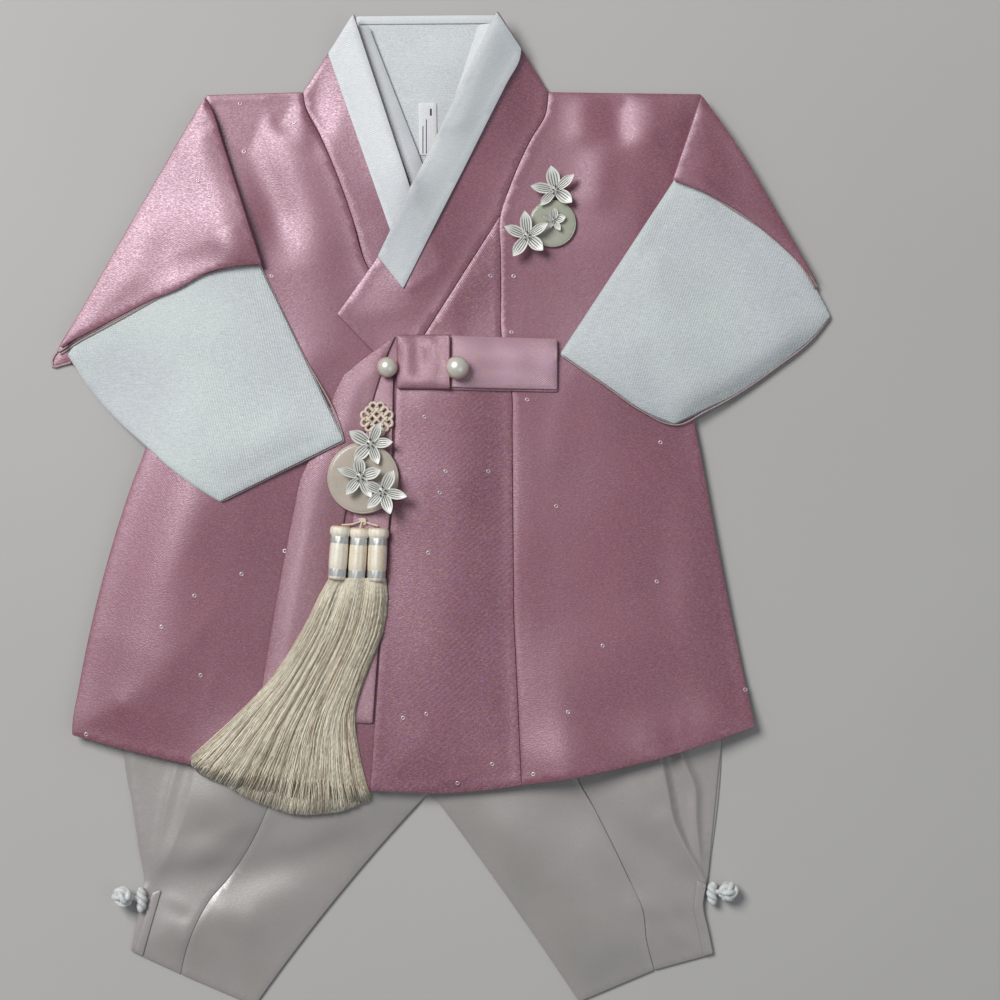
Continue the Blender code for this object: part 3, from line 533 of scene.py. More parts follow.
class Pile:
    """How high everything laid down so far reaches."""

    def __init__(self):
        low, high = CAD_BOX
        self.xs = np.arange(low.x / MM - MARGIN, high.x / MM + MARGIN, CELL)
        self.ys = np.arange(low.y / MM - MARGIN, high.y / MM + MARGIN, CELL)
        self.top = np.zeros((len(self.ys), len(self.xs)))

    def window(self, points):
        low, high = points.min(0) - MARGIN + 1, points.max(0) + MARGIN - 1
        rows = slice(*np.searchsorted(self.ys, (low[1], high[1])))
        columns = slice(*np.searchsorted(self.xs, (low[0], high[0])))
        return rows, columns

    def height(self, points):
        return sample(self.top, self.xs, self.ys, np.asarray(points, float)[:, :2])


pile = Pile()
materials = make_materials()


def box(node):
    """A CAD node's box, in millimetres."""
    return [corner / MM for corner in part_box(node)]


# Meshes

def new_piece(name, verts, faces, finish, nodes=(), marks=None):
    """A piece of the object, from points in millimetres; marks are a number for each point."""
    mesh = bpy.data.meshes.new(name)
    mesh.from_pydata((np.asarray(verts, float) * MM).tolist(), [],
                     [tuple(int(i) for i in f) for f in faces])
    mesh.update()
    mesh.shade_smooth()
    item = bpy.data.objects.new(name, mesh)
    bpy.context.scene.collection.objects.link(item)
    item.data.materials.append(materials[finish])
    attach(item, "root")
    if nodes:
        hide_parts(*nodes)
    if finish in THREADS and not marks:
        marks = {"tone": np.full(len(verts), 0.6)}
    for key, values in (marks or {}).items():
        attribute = mesh.attributes.new(key, "FLOAT", "POINT")
        attribute.data.foreach_set("value", np.asarray(values, np.float32))
    return item


def lattice(rim, mask_depth, xs, ys, step):
    """Staggered points inside a rim, clear of it."""
    low, high = rim.min(0), rim.max(0)
    rows = np.arange(low[1] + step / 2, high[1], step * 0.866)
    points = []
    for i, y in enumerate(rows):
        x = np.arange(low[0] + (i % 2) * step / 2, high[0], step)
        points.append(np.stack([x, np.full(len(x), y)], axis=1))
    points = np.vstack(points) if points else np.zeros((0, 2))
    return points[sample(mask_depth, xs, ys, points) > 0.62 * step + 1.0] if len(points) else points


def room_within(outline, distance):
    """How far each point of an outline can move inwards, without its ring crossing itself."""
    reach = np.full(len(outline), distance)
    onward = np.roll(outline, -1, 0) - outline
    size = (onward ** 2).sum(1)
    for _ in range(18):
        moved = inset(outline, reach)
        folded = ((np.roll(moved, -1, 0) - moved) * onward).sum(1) < 0.1 * size
        away = moved[:, None] - outline[None]
        share = np.clip((away * onward[None]).sum(2) / size[None], 0, 1)
        nearest = np.linalg.norm(away - share[:, :, None] * onward[None], axis=2).min(1)
        tight = folded | np.roll(folded, 1) | (nearest < 0.6 * reach)
        if not tight.any():
            break
        reach = np.where(tight, 0.72 * reach, reach)
    return reach


def crease_points(creases, depth, xs, ys):
    """Rows of points on and beside lines, where cloth is creased sharply."""
    rows = []
    for line in creases:
        line = curve_through(line, 1.6)
        ahead = unit(np.gradient(line, axis=0))
        across = np.stack([-ahead[:, 1], ahead[:, 0]], axis=1)
        rows += [line + across * away for away in (-1.5, -0.75, 0.0, 0.75, 1.5)]
    points = np.vstack(rows) if rows else np.zeros((0, 2))
    return points[sample(depth, xs, ys, points) > 1.8] if len(points) else points


def shell(outline, under, over, thick, depth, xs, ys, step, creases=()):
    """A closed cloth shell with a rounded rim, between two height maps."""
    reach = room_within(outline, 0.42 * thick)
    middle_ring, inner_ring = inset(outline, 0.38 * reach), inset(outline, reach)
    inside = lattice(inner_ring, depth, xs, ys, step)
    sharp = crease_points(creases, depth, xs, ys)
    if len(sharp):
        inside = inside[[np.min(np.sum((sharp - point) ** 2, axis=1)) > 1.6 for point in inside]]
        inside = np.vstack([inside, sharp])
    count = len(outline)
    plan = np.vstack([inner_ring, inside])
    points, _, faces, origins, _, _ = delaunay_2d_cdt([Vector(p) for p in plan], [], [list(range(count))],
                                                      1, 1e-4)
    points = np.array([tuple(p) for p in points])
    ring = {}
    for i, sources in enumerate(origins):
        for source in sources:
            if source < count:
                ring[source] = i
    low, high = sample(under, xs, ys, points), sample(over, xs, ys, points)
    verts = [np.column_stack([points, high]), np.column_stack([points, low])]
    total = len(points)
    triangles = [tuple(face) for face in faces]
    triangles += [tuple(total + i for i in reversed(face)) for face in faces]
    for plan_ring, share in ((middle_ring, 0.38), (outline, 0.0), (middle_ring, -0.38)):
        low, high = sample(under, xs, ys, plan_ring), sample(over, xs, ys, plan_ring)
        verts.append(np.column_stack([plan_ring, (low + high) / 2 + share * (high - low)]))
    loops = [[ring[i] for i in range(count)]]
    loops += [[2 * total + k * count + i for i in range(count)] for k in range(3)]
    loops.append([total + ring[i] for i in range(count)])
    for upper, lower in zip(loops, loops[1:]):
        for i in range(count):
            j = (i + 1) % count
            triangles.append((upper[j], upper[i], lower[i], lower[j]))
    return np.vstack(verts), triangles


FOLD_FADE = 5.0             # how far in from the rim a fold has its full height
CONTACT = 0.35              # how softly cloth comes to rest on what is below it


def lay(nodes, finish, thick=None, loft=1.0, loft_reach=16.0, folds=(), waves=(60.0, 0.4, 1),
        stiff=2.0, rounds=14, step=FINE, dip=0.08, rolls=(), turned_in=(6.0, 0.0), grow=0.0, finishes=None,
        creases=(), span=0.0):
    """Lays cloth plates that are sewn to each other on the pile, and cuts them at their seams.

    folds and rolls are rows for ridge(); folds die out at the rim and rolls lift the rim too.
    creases are lines along which points are set closely.
    waves are a wavelength, a height and a seed for swell(). turned_in is the width of the
    turned-in edge that thickens the rim, and how much it does. span is how far the cloth
    bridges the steps below it.
    """
    thick = thick or WALLS[finish.split("_")[0]]
    outlines = {node: inset(smooth_outline(outline_of(node), step), -SEAM - grow) for node in nodes}
    rows, columns = pile.window(np.vstack(list(outlines.values())))
    xs, ys = pile.xs[columns], pile.ys[rows]
    below = near_cells(pile.top[rows, columns], np.maximum)
    floor = np.where(below > 0.0, below + GAP, 0.0)
    masks = {node: fill(outline, xs, ys) for node, outline in outlines.items()}
    union = near_cells(np.logical_or.reduce(list(masks.values())), np.logical_or)
    weight = np.maximum(blur(union.astype(float), stiff), 1e-6)
    bottom = floor.copy()
    if span:
        share = np.maximum(blur(union.astype(float), span), 1e-6)
        for _ in range(10):
            bottom = np.maximum(blur(np.where(union, bottom, 0.0), span) / share, floor)
    for _ in range(rounds):
        spread = blur(np.where(union, bottom, 0.0), stiff) / weight
        bottom = np.where(union, np.maximum(spread, floor), spread)
    depth = depth_of(union, LOFT_REACH)
    envelope = 1 - np.exp(-(depth / loft_reach) ** 2)
    lift = envelope * (loft + swell(xs, ys, waves[2], waves[0], waves[1]))
    for fold in folds:
        lift += ridge(xs, ys, *fold) * (1 - np.exp(-(depth / FOLD_FADE) ** 2))
    lift = blur(lift, 2 * CELL)
    for roll in rolls:
        lift += ridge(xs, ys, *roll)
    free = bottom + lift - floor
    settled = CONTACT * math.log(2) * np.exp(-np.maximum(free, 0) / CONTACT)
    bottom = floor + CONTACT * np.logaddexp(0.0, free / CONTACT) - settled
    bottom = np.where(union, np.maximum(bottom, floor), bottom)
    laid = {}
    for node in nodes:
        own_depth = depth_of(masks[node], 12.0)
        under = bottom
        if len(nodes) > 1:
            under = np.maximum(bottom - dip * np.exp(-own_depth ** 2), np.where(union, floor, -1.0))
        rim = np.clip((turned_in[0] - own_depth) / 1.2, 0, 1)
        over = under + thick + turned_in[1] * rim * rim * (3 - 2 * rim)
        inward = depth_of(masks[node], 3 * step + 3)
        verts, faces = shell(outlines[node], under, over, thick, inward, xs, ys, step, creases)
        piece = new_piece(node + "_cloth", verts, faces, (finishes or {}).get(node, finish), (node,))
        width, length, area = cut_of(outlines[node])
        laid[node] = (piece, width, length, area)
        top = pile.top[rows, columns]
        top[masks[node]] = np.maximum(top, over)[masks[node]]
    seams = union & ~np.logical_or.reduce(list(masks.values())) & (depth > CELL)
    top = pile.top[rows, columns]
    top[seams] = np.maximum(top, bottom + thick)[seams]
    return laid


def declare(laid, with_pieces=None):
    """Goes over the cloth pieces that lay() made and the pieces listed with them, and does nothing more
    with them.
    """
    for node, (piece, width, length, area) in laid.items():
        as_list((with_pieces or {}).get(node, ()))


def ring_faces(rings, steps, start=0, closed=False):
    """Faces of a tube of rings, each with as many steps: capped, or closed into a loop.

    start is the number of its first point.
    """
    faces = []
    for i in range(rings if closed else rings - 1):
        here, there = start + i * steps, start + (i + 1) % rings * steps
        for k in range(steps):
            onward = (k + 1) % steps
            faces.append((here + k, here + onward, there + onward, there + k))
    if closed:
        return faces
    last = start + (rings - 1) * steps
    return faces + [tuple(range(start, start + steps))[::-1], tuple(range(last, last + steps))]


def plate_faces(rows, columns):
    """Faces of a closed plate: a grid of points on top, row by row, and one like it below."""
    size = rows * columns
    faces = []
    for a in (i * columns + j for i in range(rows - 1) for j in range(columns - 1)):
        faces.append((a, a + columns, a + columns + 1, a + 1))
        faces.append((size + a, size + a + 1, size + a + columns + 1, size + a + columns))
    rim = list(range(columns)) + [i * columns + columns - 1 for i in range(1, rows)]
    rim += [(rows - 1) * columns + j for j in reversed(range(columns - 1))]
    rim += [i * columns for i in reversed(range(1, rows - 1))]
    return faces + [(a, b, size + b, size + a) for a, b in zip(rim, rim[1:] + rim[:1])]


def tubes(paths, radius, sides=6):
    """Round tubes along paths, all in one mesh."""
    verts, faces = [], []
    for path in paths:
        path = np.asarray(path, float)
        tangents = unit(np.gradient(path, axis=0))
        up = np.array([0.0, 0.0, 1.0])
        sideways = np.cross(tangents, up)
        weak = np.linalg.norm(sideways, axis=1) < 0.05
        sideways[weak] = np.cross(tangents[weak], (0.0, 1.0, 0.0))
        sideways = unit(sideways)
        for i in range(1, len(sideways)):
            if sideways[i] @ sideways[i - 1] < 0:
                sideways[i] *= -1
        upright = np.cross(sideways, tangents)
        angles = (math.tau * np.arange(sides) / sides)[None, :, None]
        across = np.cos(angles) * sideways[:, None] + np.sin(angles) * upright[:, None]
        rings = path[:, None] + radius * across
        faces += ring_faces(len(path), sides, sum(len(v) for v in verts))
        verts.append(rings.reshape(-1, 3))
    return np.vstack(verts), faces


def lathe(profile, steps, centre=(0.0, 0.0, 0.0)):
    """A turned form about Z. Profile rows are radius and height, from its top to its bottom."""
    angles = math.tau * np.arange(steps) / steps
    verts = np.array([(r * math.cos(a), r * math.sin(a), z) for r, z in profile for a in angles])
    return verts + np.asarray(centre), [face[::-1] for face in ring_faces(len(profile), steps)]


def joined(*parts):
    """Several meshes as one."""
    verts, faces, start = [], [], 0
    for part_verts, part_faces in parts:
        verts.append(np.asarray(part_verts, float))
        faces += [tuple(start + i for i in face) for face in part_faces]
        start += len(part_verts)
    return np.vstack(verts), faces


# Garments

def trousers():
    backs = lay(["trousers_back_right", "trousers_back_left"], "greige", loft=0.15,
                waves=(70.0, 0.25, 3), step=HIDDEN, folds=[
                    ([(-148, -185), (-110, -120), (-80, -60)], 0.7, 7, 10),
                    ([(-140, -200), (-90, -160), (-40, -120)], 0.5, 9, 6),
                    ([(132, -185), (100, -120), (75, -50)], 0.7, 9, 6),
                    ([(120, -205), (80, -165), (30, -125)], 0.5, 6, 9)])
    declare(backs)
    # Soft folds that fan out from each ankle
    folds = [
        ([(-146, -192), (-125, -189), (-92, -186), (-62, -178), (-36, -166)], -2.5, 8.0, 13.0, 0.9, 0.3),
        ([(-136, -184), (-118, -175), (-104, -163), (-96, -150)], 1.2, 7.0, 6.0, 0.2, 0.0),
        ([(-122, -206), (-104, -212), (-88, -216)], 1.3, 8.0, 9.0, 0.2, 0.0),
        ([(-142, -206), (-134, -210), (-124, -209)], -0.8, 3.0, 4.0, 0.5, 0.0),
        ([(-134, -226), (-129, -217), (-126, -204)], 0.9, 4.0, 4.0, 0.3, 0.0),
        ([(-92, -158), (-72, -152), (-50, -149), (-34, -150)], 2.6, 12.0, 34.0, 0.3, 0.4),
        ([(106, -132), (111, -146), (116, -160)], -1.3, 5.0, 6.0, 0.4, 0.2),
        ([(136, -193), (112, -178), (84, -162), (52, -150)], -1.6, 10.0, 10.0, 0.8, 0.2),
        ([(130, -204), (112, -206), (92, -200)], 1.0, 6.0, 7.0, 0.3, 0.0),
        ([(124, -216), (120, -206), (114, -198)], -0.7, 3.5, 3.5, 0.4, 0.0),
        ([(20, -150), (48, -172), (72, -206)], 1.2, 14.0, 12.0, 0.1, 0.1),
        ([(-98, -116), (-103, -140), (-116, -172)], 3.8, 18.0, 17.0, 0.35, 0.0),
    ]
    # Pleats that turn over towards each outer seam
    pleats = [
        ([(-132, -106), (-136.5, -132), (-141.4, -150), (-144.7, -170), (-147.0, -188)],
         1.1, 6.0, 2.2, 1.0, 0.4),
        ([(-120, -106), (-125.6, -134), (-131.4, -156), (-139.7, -178), (-147.5, -193)],
         2.0, 34.0, 4.0, 1.0, 0.3),
        ([(-163.5, -106), (-164.3, -125), (-154.0, -193)], 1.4, 12.0, 12.0, 1.0, 1.0),
        ([(-163.5, -106), (-164.3, -125), (-154.0, -193)], -1.3, 2.2, 2.2, 1.0, 1.0),
        ([(110, -108), (117, -143), (120.4, -160), (128, -177), (135, -191)], 3.2, 2.2, 16.0, 0.5, 0.5),
        ([(122, -108), (126, -130), (131.8, -144), (132.3, -160), (134.1, -178), (136, -190)],
         1.9, 2.2, 3.6, 0.7, 0.4),
    ]
    fronts = lay(["trousers_front_right_outer", "trousers_front_right_inner", "trousers_front_left_inner",
                  "trousers_front_left_outer"], "greige", loft=2.2,
                 loft_reach=14.0, folds=folds, waves=(60.0, 0.5, 5), dip=0.12, rolls=pleats,
                 creases=[line for line, *_ in pleats])
    bindings = lay(["ankle_binding_right", "ankle_binding_left"], "greige", thick=0.45, loft=0.1,
                   loft_reach=2.5, stiff=1.6, rounds=8, dip=0.1, step=1.6)
    declare(fronts,
            {"trousers_front_right_outer": [bindings["ankle_binding_right"][0]],
             "trousers_front_left_outer": [bindings["ankle_binding_left"][0]]})
    waistband()


TENT = 58.0                 # how far above the waistband the jacket comes down to the floor
BAND_HEIGHT = 2.4           # how high the gathered waistband stands


def waistband():
    """The gathered waistband, which the jacket hides: a flat tube with small tucks."""
    (x0, y0, _), (x1, y1, _) = box("trousers_waistband")
    across = np.linspace(x0 + 1.5, x1 - 1.5, 140)
    base = pile.height([(x, (y0 + y1) / 2) for x in across]).max() + GAP
    tuck = 0.35 * np.sin(across * 0.9) + 0.25 * np.sin(across * 0.53 + 1.0)
    upper = np.column_stack([across, base + 1.9 + tuck])
    lower = np.column_stack([across[::-1], np.full(len(across), base + 0.1)])
    bend = np.linspace(1.3, -1.3, 6)
    turn = np.column_stack([x1 - 1.5 + np.cos(bend), base + 1.0 + 0.95 * np.sin(bend)])
    turn_back = np.column_stack([x0 + 1.5 - np.cos(bend), base + 1.0 - 0.95 * np.sin(bend)])
    ring = np.vstack([upper, turn, lower, turn_back])
    inner = inset(ring[:, :2], 0.4)
    rows = np.linspace(y0, y1, 12)
    count = len(ring)
    courses = [(ring, y) for y in rows] + [(inner, y) for y in rows[::-1]]
    verts = [np.column_stack([loop[:, 0], np.full(count, y), loop[:, 1]]) for loop, y in courses]
    piece = new_piece("trousers_waistband_cloth", np.vstack(verts),
                      ring_faces(len(courses), count, closed=True), "greige", ("trousers_waistband",))
    corners = np.array([(x0, y0), (x1, y0), (x1, y1), (x0, y1)])
    rows_in, columns_in = pile.window(np.vstack([corners, [(0.0, y1 + TENT)]]))
    mask = fill(corners, pile.xs[columns_in], pile.ys[rows_in])
    top = pile.top[rows_in, columns_in]
    top[mask] = np.maximum(top[mask], base + BAND_HEIGHT)
    above = np.clip((pile.ys[rows_in] - y1) / TENT, 0, 1)
    ramp = (base + BAND_HEIGHT) * 0.5 * (1 + np.cos(math.pi * above))
    between = (pile.xs[columns_in] > x0 + 4) & (pile.xs[columns_in] < x1 - 4)
    tent = np.where(between[None, :] & (above > 0)[:, None], ramp[:, None], 0.0)
    top[:] = np.maximum(top, blur(tent, 3.0) * (tent > 0))


def jacket_back():
    back = lay(["jacket_back", "collar_back", "sleeve_under_right", "sleeve_under_left"], "rose", loft=0.2,
               step=HIDDEN, waves=(80.0, 0.25, 11), stiff=3.0, rounds=16, folds=[
                   ([(-110, 60), (-60, 20), (-20, -60)], 0.8, 9, 12),
                   ([(90, 120), (60, 40), (70, -60)], 0.9, 12, 8),
                   ([(-150, -100), (-110, -40), (-95, 30)], 0.7, 8, 8),
                   ([(120, -95), (100, -40), (108, 20)], 0.6, 7, 10)])
    declare(back)


def neck():
    inside = lay(["inner_back"], "white", loft=0.3, waves=(50.0, 0.2, 21), folds=[
        ([(-44, 231), (-10, 232.5), (24, 231)], 0.35, 1.2, 1.2, 1.0, 1.0),
        ([(-27, 211.5), (0, 212.5), (22, 212)], 0.7, 0.9, 0.9, 1.0, 1.0),
        ([(-27, 213.5), (0, 214.5), (22, 214)], -0.5, 0.9, 0.9, 1.0, 1.0)])
    facing = lay(["neck_facing"], "white_strip", loft=0.4, loft_reach=3.0, step=1.8)
    label = lay(["size_label"], "label", thick=0.45, loft=0.2, stiff=1.0, rounds=4, step=1.6)
    collars = lay(["inner_collar_right"], "white_strip", loft=0.9, loft_reach=4.0,
                  step=1.8, rolls=[([(-45, 254), (-35, 222), (-24, 190), (-15, 161)],
                                    3.4, 8.0, 10.0, 1.0, 0.4)],
                  grow=1.3)
    collars |= lay(["inner_collar_left"], "white_strip", loft=0.9, loft_reach=4.0,
                   step=1.8, rolls=[([(31, 254), (12, 212), (-2, 176)], 3.0, 9.0, 7.0, 1.0, 0.3)],
                   grow=1.3)
    lines = label_lines()
    with_pieces = [facing["neck_facing"][0], label["size_label"][0], lines,
                   collars["inner_collar_right"][0], collars["inner_collar_left"][0]]
    declare(inside, {"inner_back": with_pieces})


def label_lines():
    """Plain ruled lines woven along the size label, and a short bar where its size would stand."""
    (x0, y0, _), (_, y1, _) = box("size_label")
    rows = [(2.2, 1.4, 15.5, 0.22), (4.0, 1.4, 19.0, 0.22), (6.3, 21.0, 24.5, 0.5)]
    parts = []
    for across, start, end, radius in rows:
        line = np.column_stack([np.full(10, x0 + across),
                                np.linspace(y0 + start, min(y0 + end, y1 - 1), 10)])
        parts.append(tubes([np.column_stack([line, pile.height(line) + 0.02])], radius, 4))
    return new_piece("size_label_lines", *joined(*parts), "ink")


def jacket_right_front():
    folds = [
        ([(-107, 214), (-96, 184), (-84, 150), (-76, 122)], -3.3, 11.0, 12.0, 1.0, 0.0),
        ([(-94, 212), (-84, 182), (-72, 142), (-60, 100), (-50, 66)], 0.3, 13.0, 16.0, 1.0, 0.0),
        ([(-83, 217), (-82.5, 205), (-83, 192)], -1.6, 5.0, 5.0, 1.0, 0.0),
        ([(-73, 216), (-71, 200), (-69, 184)], 0.8, 4.5, 5.0, 1.0, 0.0),
        ([(-66, 206), (-57, 168), (-46, 132), (-40, 104)], -1.1, 12.0, 12.0, 0.8, 0.2),
        ([(-60, 90), (-86, 40), (-110, 0)], 1.0, 12, 12, 0.0, 0.0),
    ]
    front = lay(["front_right_side", "collar_under"], "rose", loft=3.6, loft_reach=22.0,
                folds=folds, waves=(70.0, 0.55, 31), stiff=3.0, rounds=16, turned_in=(5.0, 0.12), rolls=[
                    ([(-43, 254), (-33, 222), (-22, 190), (-12, 158)], 2.8, 4.0, 18.0, 1.0, 0.3),
                    ([(-112, 70), (-128, 10), (-148, -50), (-172, -120)], 6.4, 46.0, 34.0, 0.2, 0.2),
                    ([(-236, -106), (-190, -120), (-140, -130), (-30, -152)], 4.0, 30.0, 14.0, 0.6, 0.6)],
                finishes={"collar_under": "rose_collar"})
    declare(front)
    facing = lay(["collar_facing_under"], "white_strip", thick=0.5, loft=0.5, loft_reach=6.0,
                 stiff=1.6, waves=(50, 0.15, 33), turned_in=(2.2, 0.25))
    declare(facing)


def jacket_left_front():
    folds = [
        ([(110, 215), (109, 200), (104, 182)], 1.7, 9, 11, 1.0, 0.0),
        ([(84, 190), (82, 168), (78, 150)], 1.0, 8, 10, 0.2, 0.0),
        ([(75, 215), (74, 200), (76, 186)], 1.1, 7, 8, 1.0, 0.0),
        ([(124, 216), (122, 204), (117, 190)], 0.7, 5, 7, 1.0, 0.0),
        ([(93, 216), (92, 202), (94, 186)], -1.1, 6, 6, 1.0, 0.0),
        ([(10, 62), (8, 10), (3, -60), (-2, -138)], 2.8, 14, 24, 0.8, 0.0),
        ([(33, 62), (34, 0), (35, -70), (39, -140)], -1.5, 7, 9, 0.5, 1.0),
        ([(100, 60), (112, -20), (124, -126)], -1.2, 16, 16, 0.2, 0.8),
        ([(126, 30), (134, -40), (144, -116)], 1.5, 12, 14, 0.1, 0.8),
        ([(24, 130), (6, 104), (-2, 92)], 1.0, 7, 7, 0.2, 0.2),
    ]
    front = lay(["front_left_side", "front_gore", "collar_over"], "rose", loft=2.7,
                loft_reach=20.0, folds=folds, waves=(75.0, 0.5, 41), stiff=3.0, rounds=16,
                turned_in=(5.0, 0.12), finishes={"collar_over": "rose_collar", "front_gore": "rose_gore"},
                 rolls=[
                     ([(29, 255), (14, 224), (-4, 186), (-22, 150), (-32, 131)], 5.6, 27.0, 5.0, 1.0, 0.1),
                     ([(20, -141), (60, -137), (110, -128), (157, -118)], 5.2, 22.0, 10.0, 0.5, 1.0),
                     ([(63, -52), (68, -140), (78, -330)], 5.6, 24, 18, 0.0, 1.0)])
    tail = lay(["ribbon_tail_short"], "rose_ribbon", loft=0.6, loft_reach=7.0,
               waves=(60, 0.2, 43))
    declare(front)
    declare(tail)
    facing = lay(["collar_facing_over"], "white_over", thick=0.45, loft=0.4, loft_reach=6.0,
                 stiff=1.6, waves=(50, 0.15, 45), turned_in=(2.2, 0.25))
    declare(facing)


# The openings of the turned-over outer sleeves, from the inner to the outer end
OPENINGS = {
    "right": [(-91.5, 126.2), (-103.2, 125.6), (-120.9, 121.5), (-128.2, 118.9), (-150, 108.0),
              (-171.9, 96.5), (-186.4, 89.2), (-198.2, 82.2)],
    "left": [(120.2, 170.9), (135.5, 165.2), (154.2, 154.2), (171.3, 143.3), (182.8, 134.0),
             (190.1, 124.1), (195.6, 115.5)]}


def sleeves():
    """Each sleeve is two flat tubes, the white one inside: four layers turned over the front."""
    flap_folds = {
        "right": [([(-136, 189), (-128, 195), (-118, 200)], -0.9, 1.6, 1.8, 0.8, 0.8),
                  ([(-150, 120), (-132, 130), (-110, 136)], -1.1, 12, 12, 0.0, 0.3)],
        "left": [([(137, 206), (131, 194), (124, 178)], 0.5, 5, 5, 1.0, 0.5),
                 ([(146, 192), (150, 174), (150, 160)], -0.7, 9, 12, 0.6, 0.2),
                 ([(160, 172), (172, 152), (186, 132)], 0.5, 7, 7, 0.2, 0.2)]}
    white_folds = {
        "right": [([(-160, 96), (-120, 84), (-80, 60)], 1.2, 18, 22, 0.0, 0.0),
                  ([(-150, 70), (-128, 48), (-112, 24)], -0.7, 9, 9, 0.0, 0.0),
                  ([(-110, 30), (-90, 36), (-64, 44)], 0.7, 9, 9, 0.2, 0.0)],
        "left": [([(110, 136), (122, 100), (128, 66)], 1.1, 20, 20, 0.0, 0.0),
                 ([(84, 80), (110, 76), (150, 80)], -0.5, 12, 12, 0.0, 0.0),
                 ([(118, 50), (158, 72), (192, 96)], 4.5, 46, 7, 0.4, 0.4)]}
    flap_rolls = {
        "right": ([(-118.5, 207), (-105, 170), (-92, 127)], 4.0, 4, 30, 0.7, 0.5),
        "left": ([(134, 214), (124, 192), (118, 166)], 2.2, 38, 3, 0.5, 0.5)}
    flap_lofts = {"right": (1.9, 9.0), "left": (1.3, 16.0)}
    for side, opening in OPENINGS.items():
        rose, white = f"rose_sleeve_{side}", f"white_sleeve_{side}"
        layer = lay([f"sleeve_{side}_front"], rose, loft=0.1, step=HIDDEN)
        declare(layer)
        layer = lay([f"inner_sleeve_{side}_front"], white, loft=0.2, stiff=3.0, rounds=16,
                    waves=(60, 0.2, 51), grow=0.6)
        declare(layer)
        layer = lay([f"inner_sleeve_{side}_back"], white, loft=1.9, loft_reach=9.0,
                    folds=white_folds[side], stiff=3.0, rounds=16, waves=(55, 0.4, 53),
                    turned_in=(6.5, 0.35))
        declare(layer,
                {f"inner_sleeve_{side}_back": [cuff_trim(side)]})
        trim = opening_trim(side, opening)
        loft, loft_reach = flap_lofts[side]
        layer = lay([f"sleeve_{side}_back"], rose, loft=loft, loft_reach=loft_reach,
                    folds=flap_folds[side], waves=(50, 0.4, 55), span=8.0,
                    rolls=[(opening, 1.0, 7, 7, 0.6, 0.4), flap_rolls[side]])
        declare(layer, {f"sleeve_{side}_back": [trim]})


# The inner sleeves' lower edges, where the outer sleeve's lining peeps out
CUFFS = {
    "right": [(-92.3, 123.0), (-72.0, 82.5), (-50.0, 37.6), (-49.6, 35.6), (-51.5, 34.6), (-82.0, 19.6),
              (-111.0, 5.0)],
    "left": [(63.2, 79.6), (84.0, 65.2), (104.3, 51.2), (119.5, 44.4), (121.5, 44.2), (137.0, 51.0),
             (154.0, 60.2), (174.0, 74.0), (193.0, 89.0), (201.6, 99.5)]}


def outward_from(line, side):
    """Unit steps across the line of a sleeve's end, away from the sleeve."""
    ahead = unit(np.gradient(line, axis=0))
    return np.stack([ahead[:, 1], -ahead[:, 0]], axis=1) * (1 if side == "left" else -1)


def cuff_trim(side):
    """A thin rolled edge of lining round the inner sleeve's end."""
    line = curve_through(CUFFS[side], 1.2)
    outward = outward_from(line, side)
    height = pile.height(line - outward * 2.5)
    path = np.column_stack([line + outward * 0.15, height - 1.5])
    return new_piece(f"inner_sleeve_{side}_edge", *tubes([path], 0.45, 6), "rose_lining")


def opening_trim(side, opening):
    """The lining's rolled edge, which shows under the turned-over sleeve's opening."""
    line = curve_through(opening, 1.5)
    outward = outward_from(line, side)
    share = np.linspace(0, 1, len(line))[:, None]
    outer = line + outward * (0.15 + 1.35 * share ** 1.5)
    paths = []
    for route, rise in ((outer, 0.5), (line + outward * 0.05, 0.9)):
        paths.append(np.column_stack([route, pile.height(route) + rise])[1:])
    if side == "right":
        turn = np.array([(-198.8, 82.6), (-201.6, 77.8), (-201.2, 74.6), (-196.5, 75.4), (-192.0, 76.6)])
        turn = curve_through(turn, 0.8)
        paths.append(np.column_stack([turn, pile.height(turn) + 0.4]))
    return new_piece(f"sleeve_{side}_opening_edge", *tubes(paths, 0.5, 8), "rose_lining")


def ribbon_tail():
    folds = [([(-44, 74), (-64, 20), (-79, -50), (-89, -122)], 1.1, 10, 6, 0.8, 1.0),
             ([(-30, 78), (-44, 20), (-56, -50), (-70, -122)], -0.9, 4, 4, 0.5, 1.0),
             ([(-26, 86), (-31, 76), (-38, 64)], 1.4, 2.0, 2.5, 1.0, 0.0),
             ([(-38, 78), (-48, 68), (-54, 56)], -0.8, 2.5, 2.5, 0.6, 0.0)]
    tail = lay(["ribbon_tail_long"], "rose_ribbon", loft=1.8, loft_reach=6.0,
               folds=folds, waves=(45, 0.3, 61))
    declare(tail)


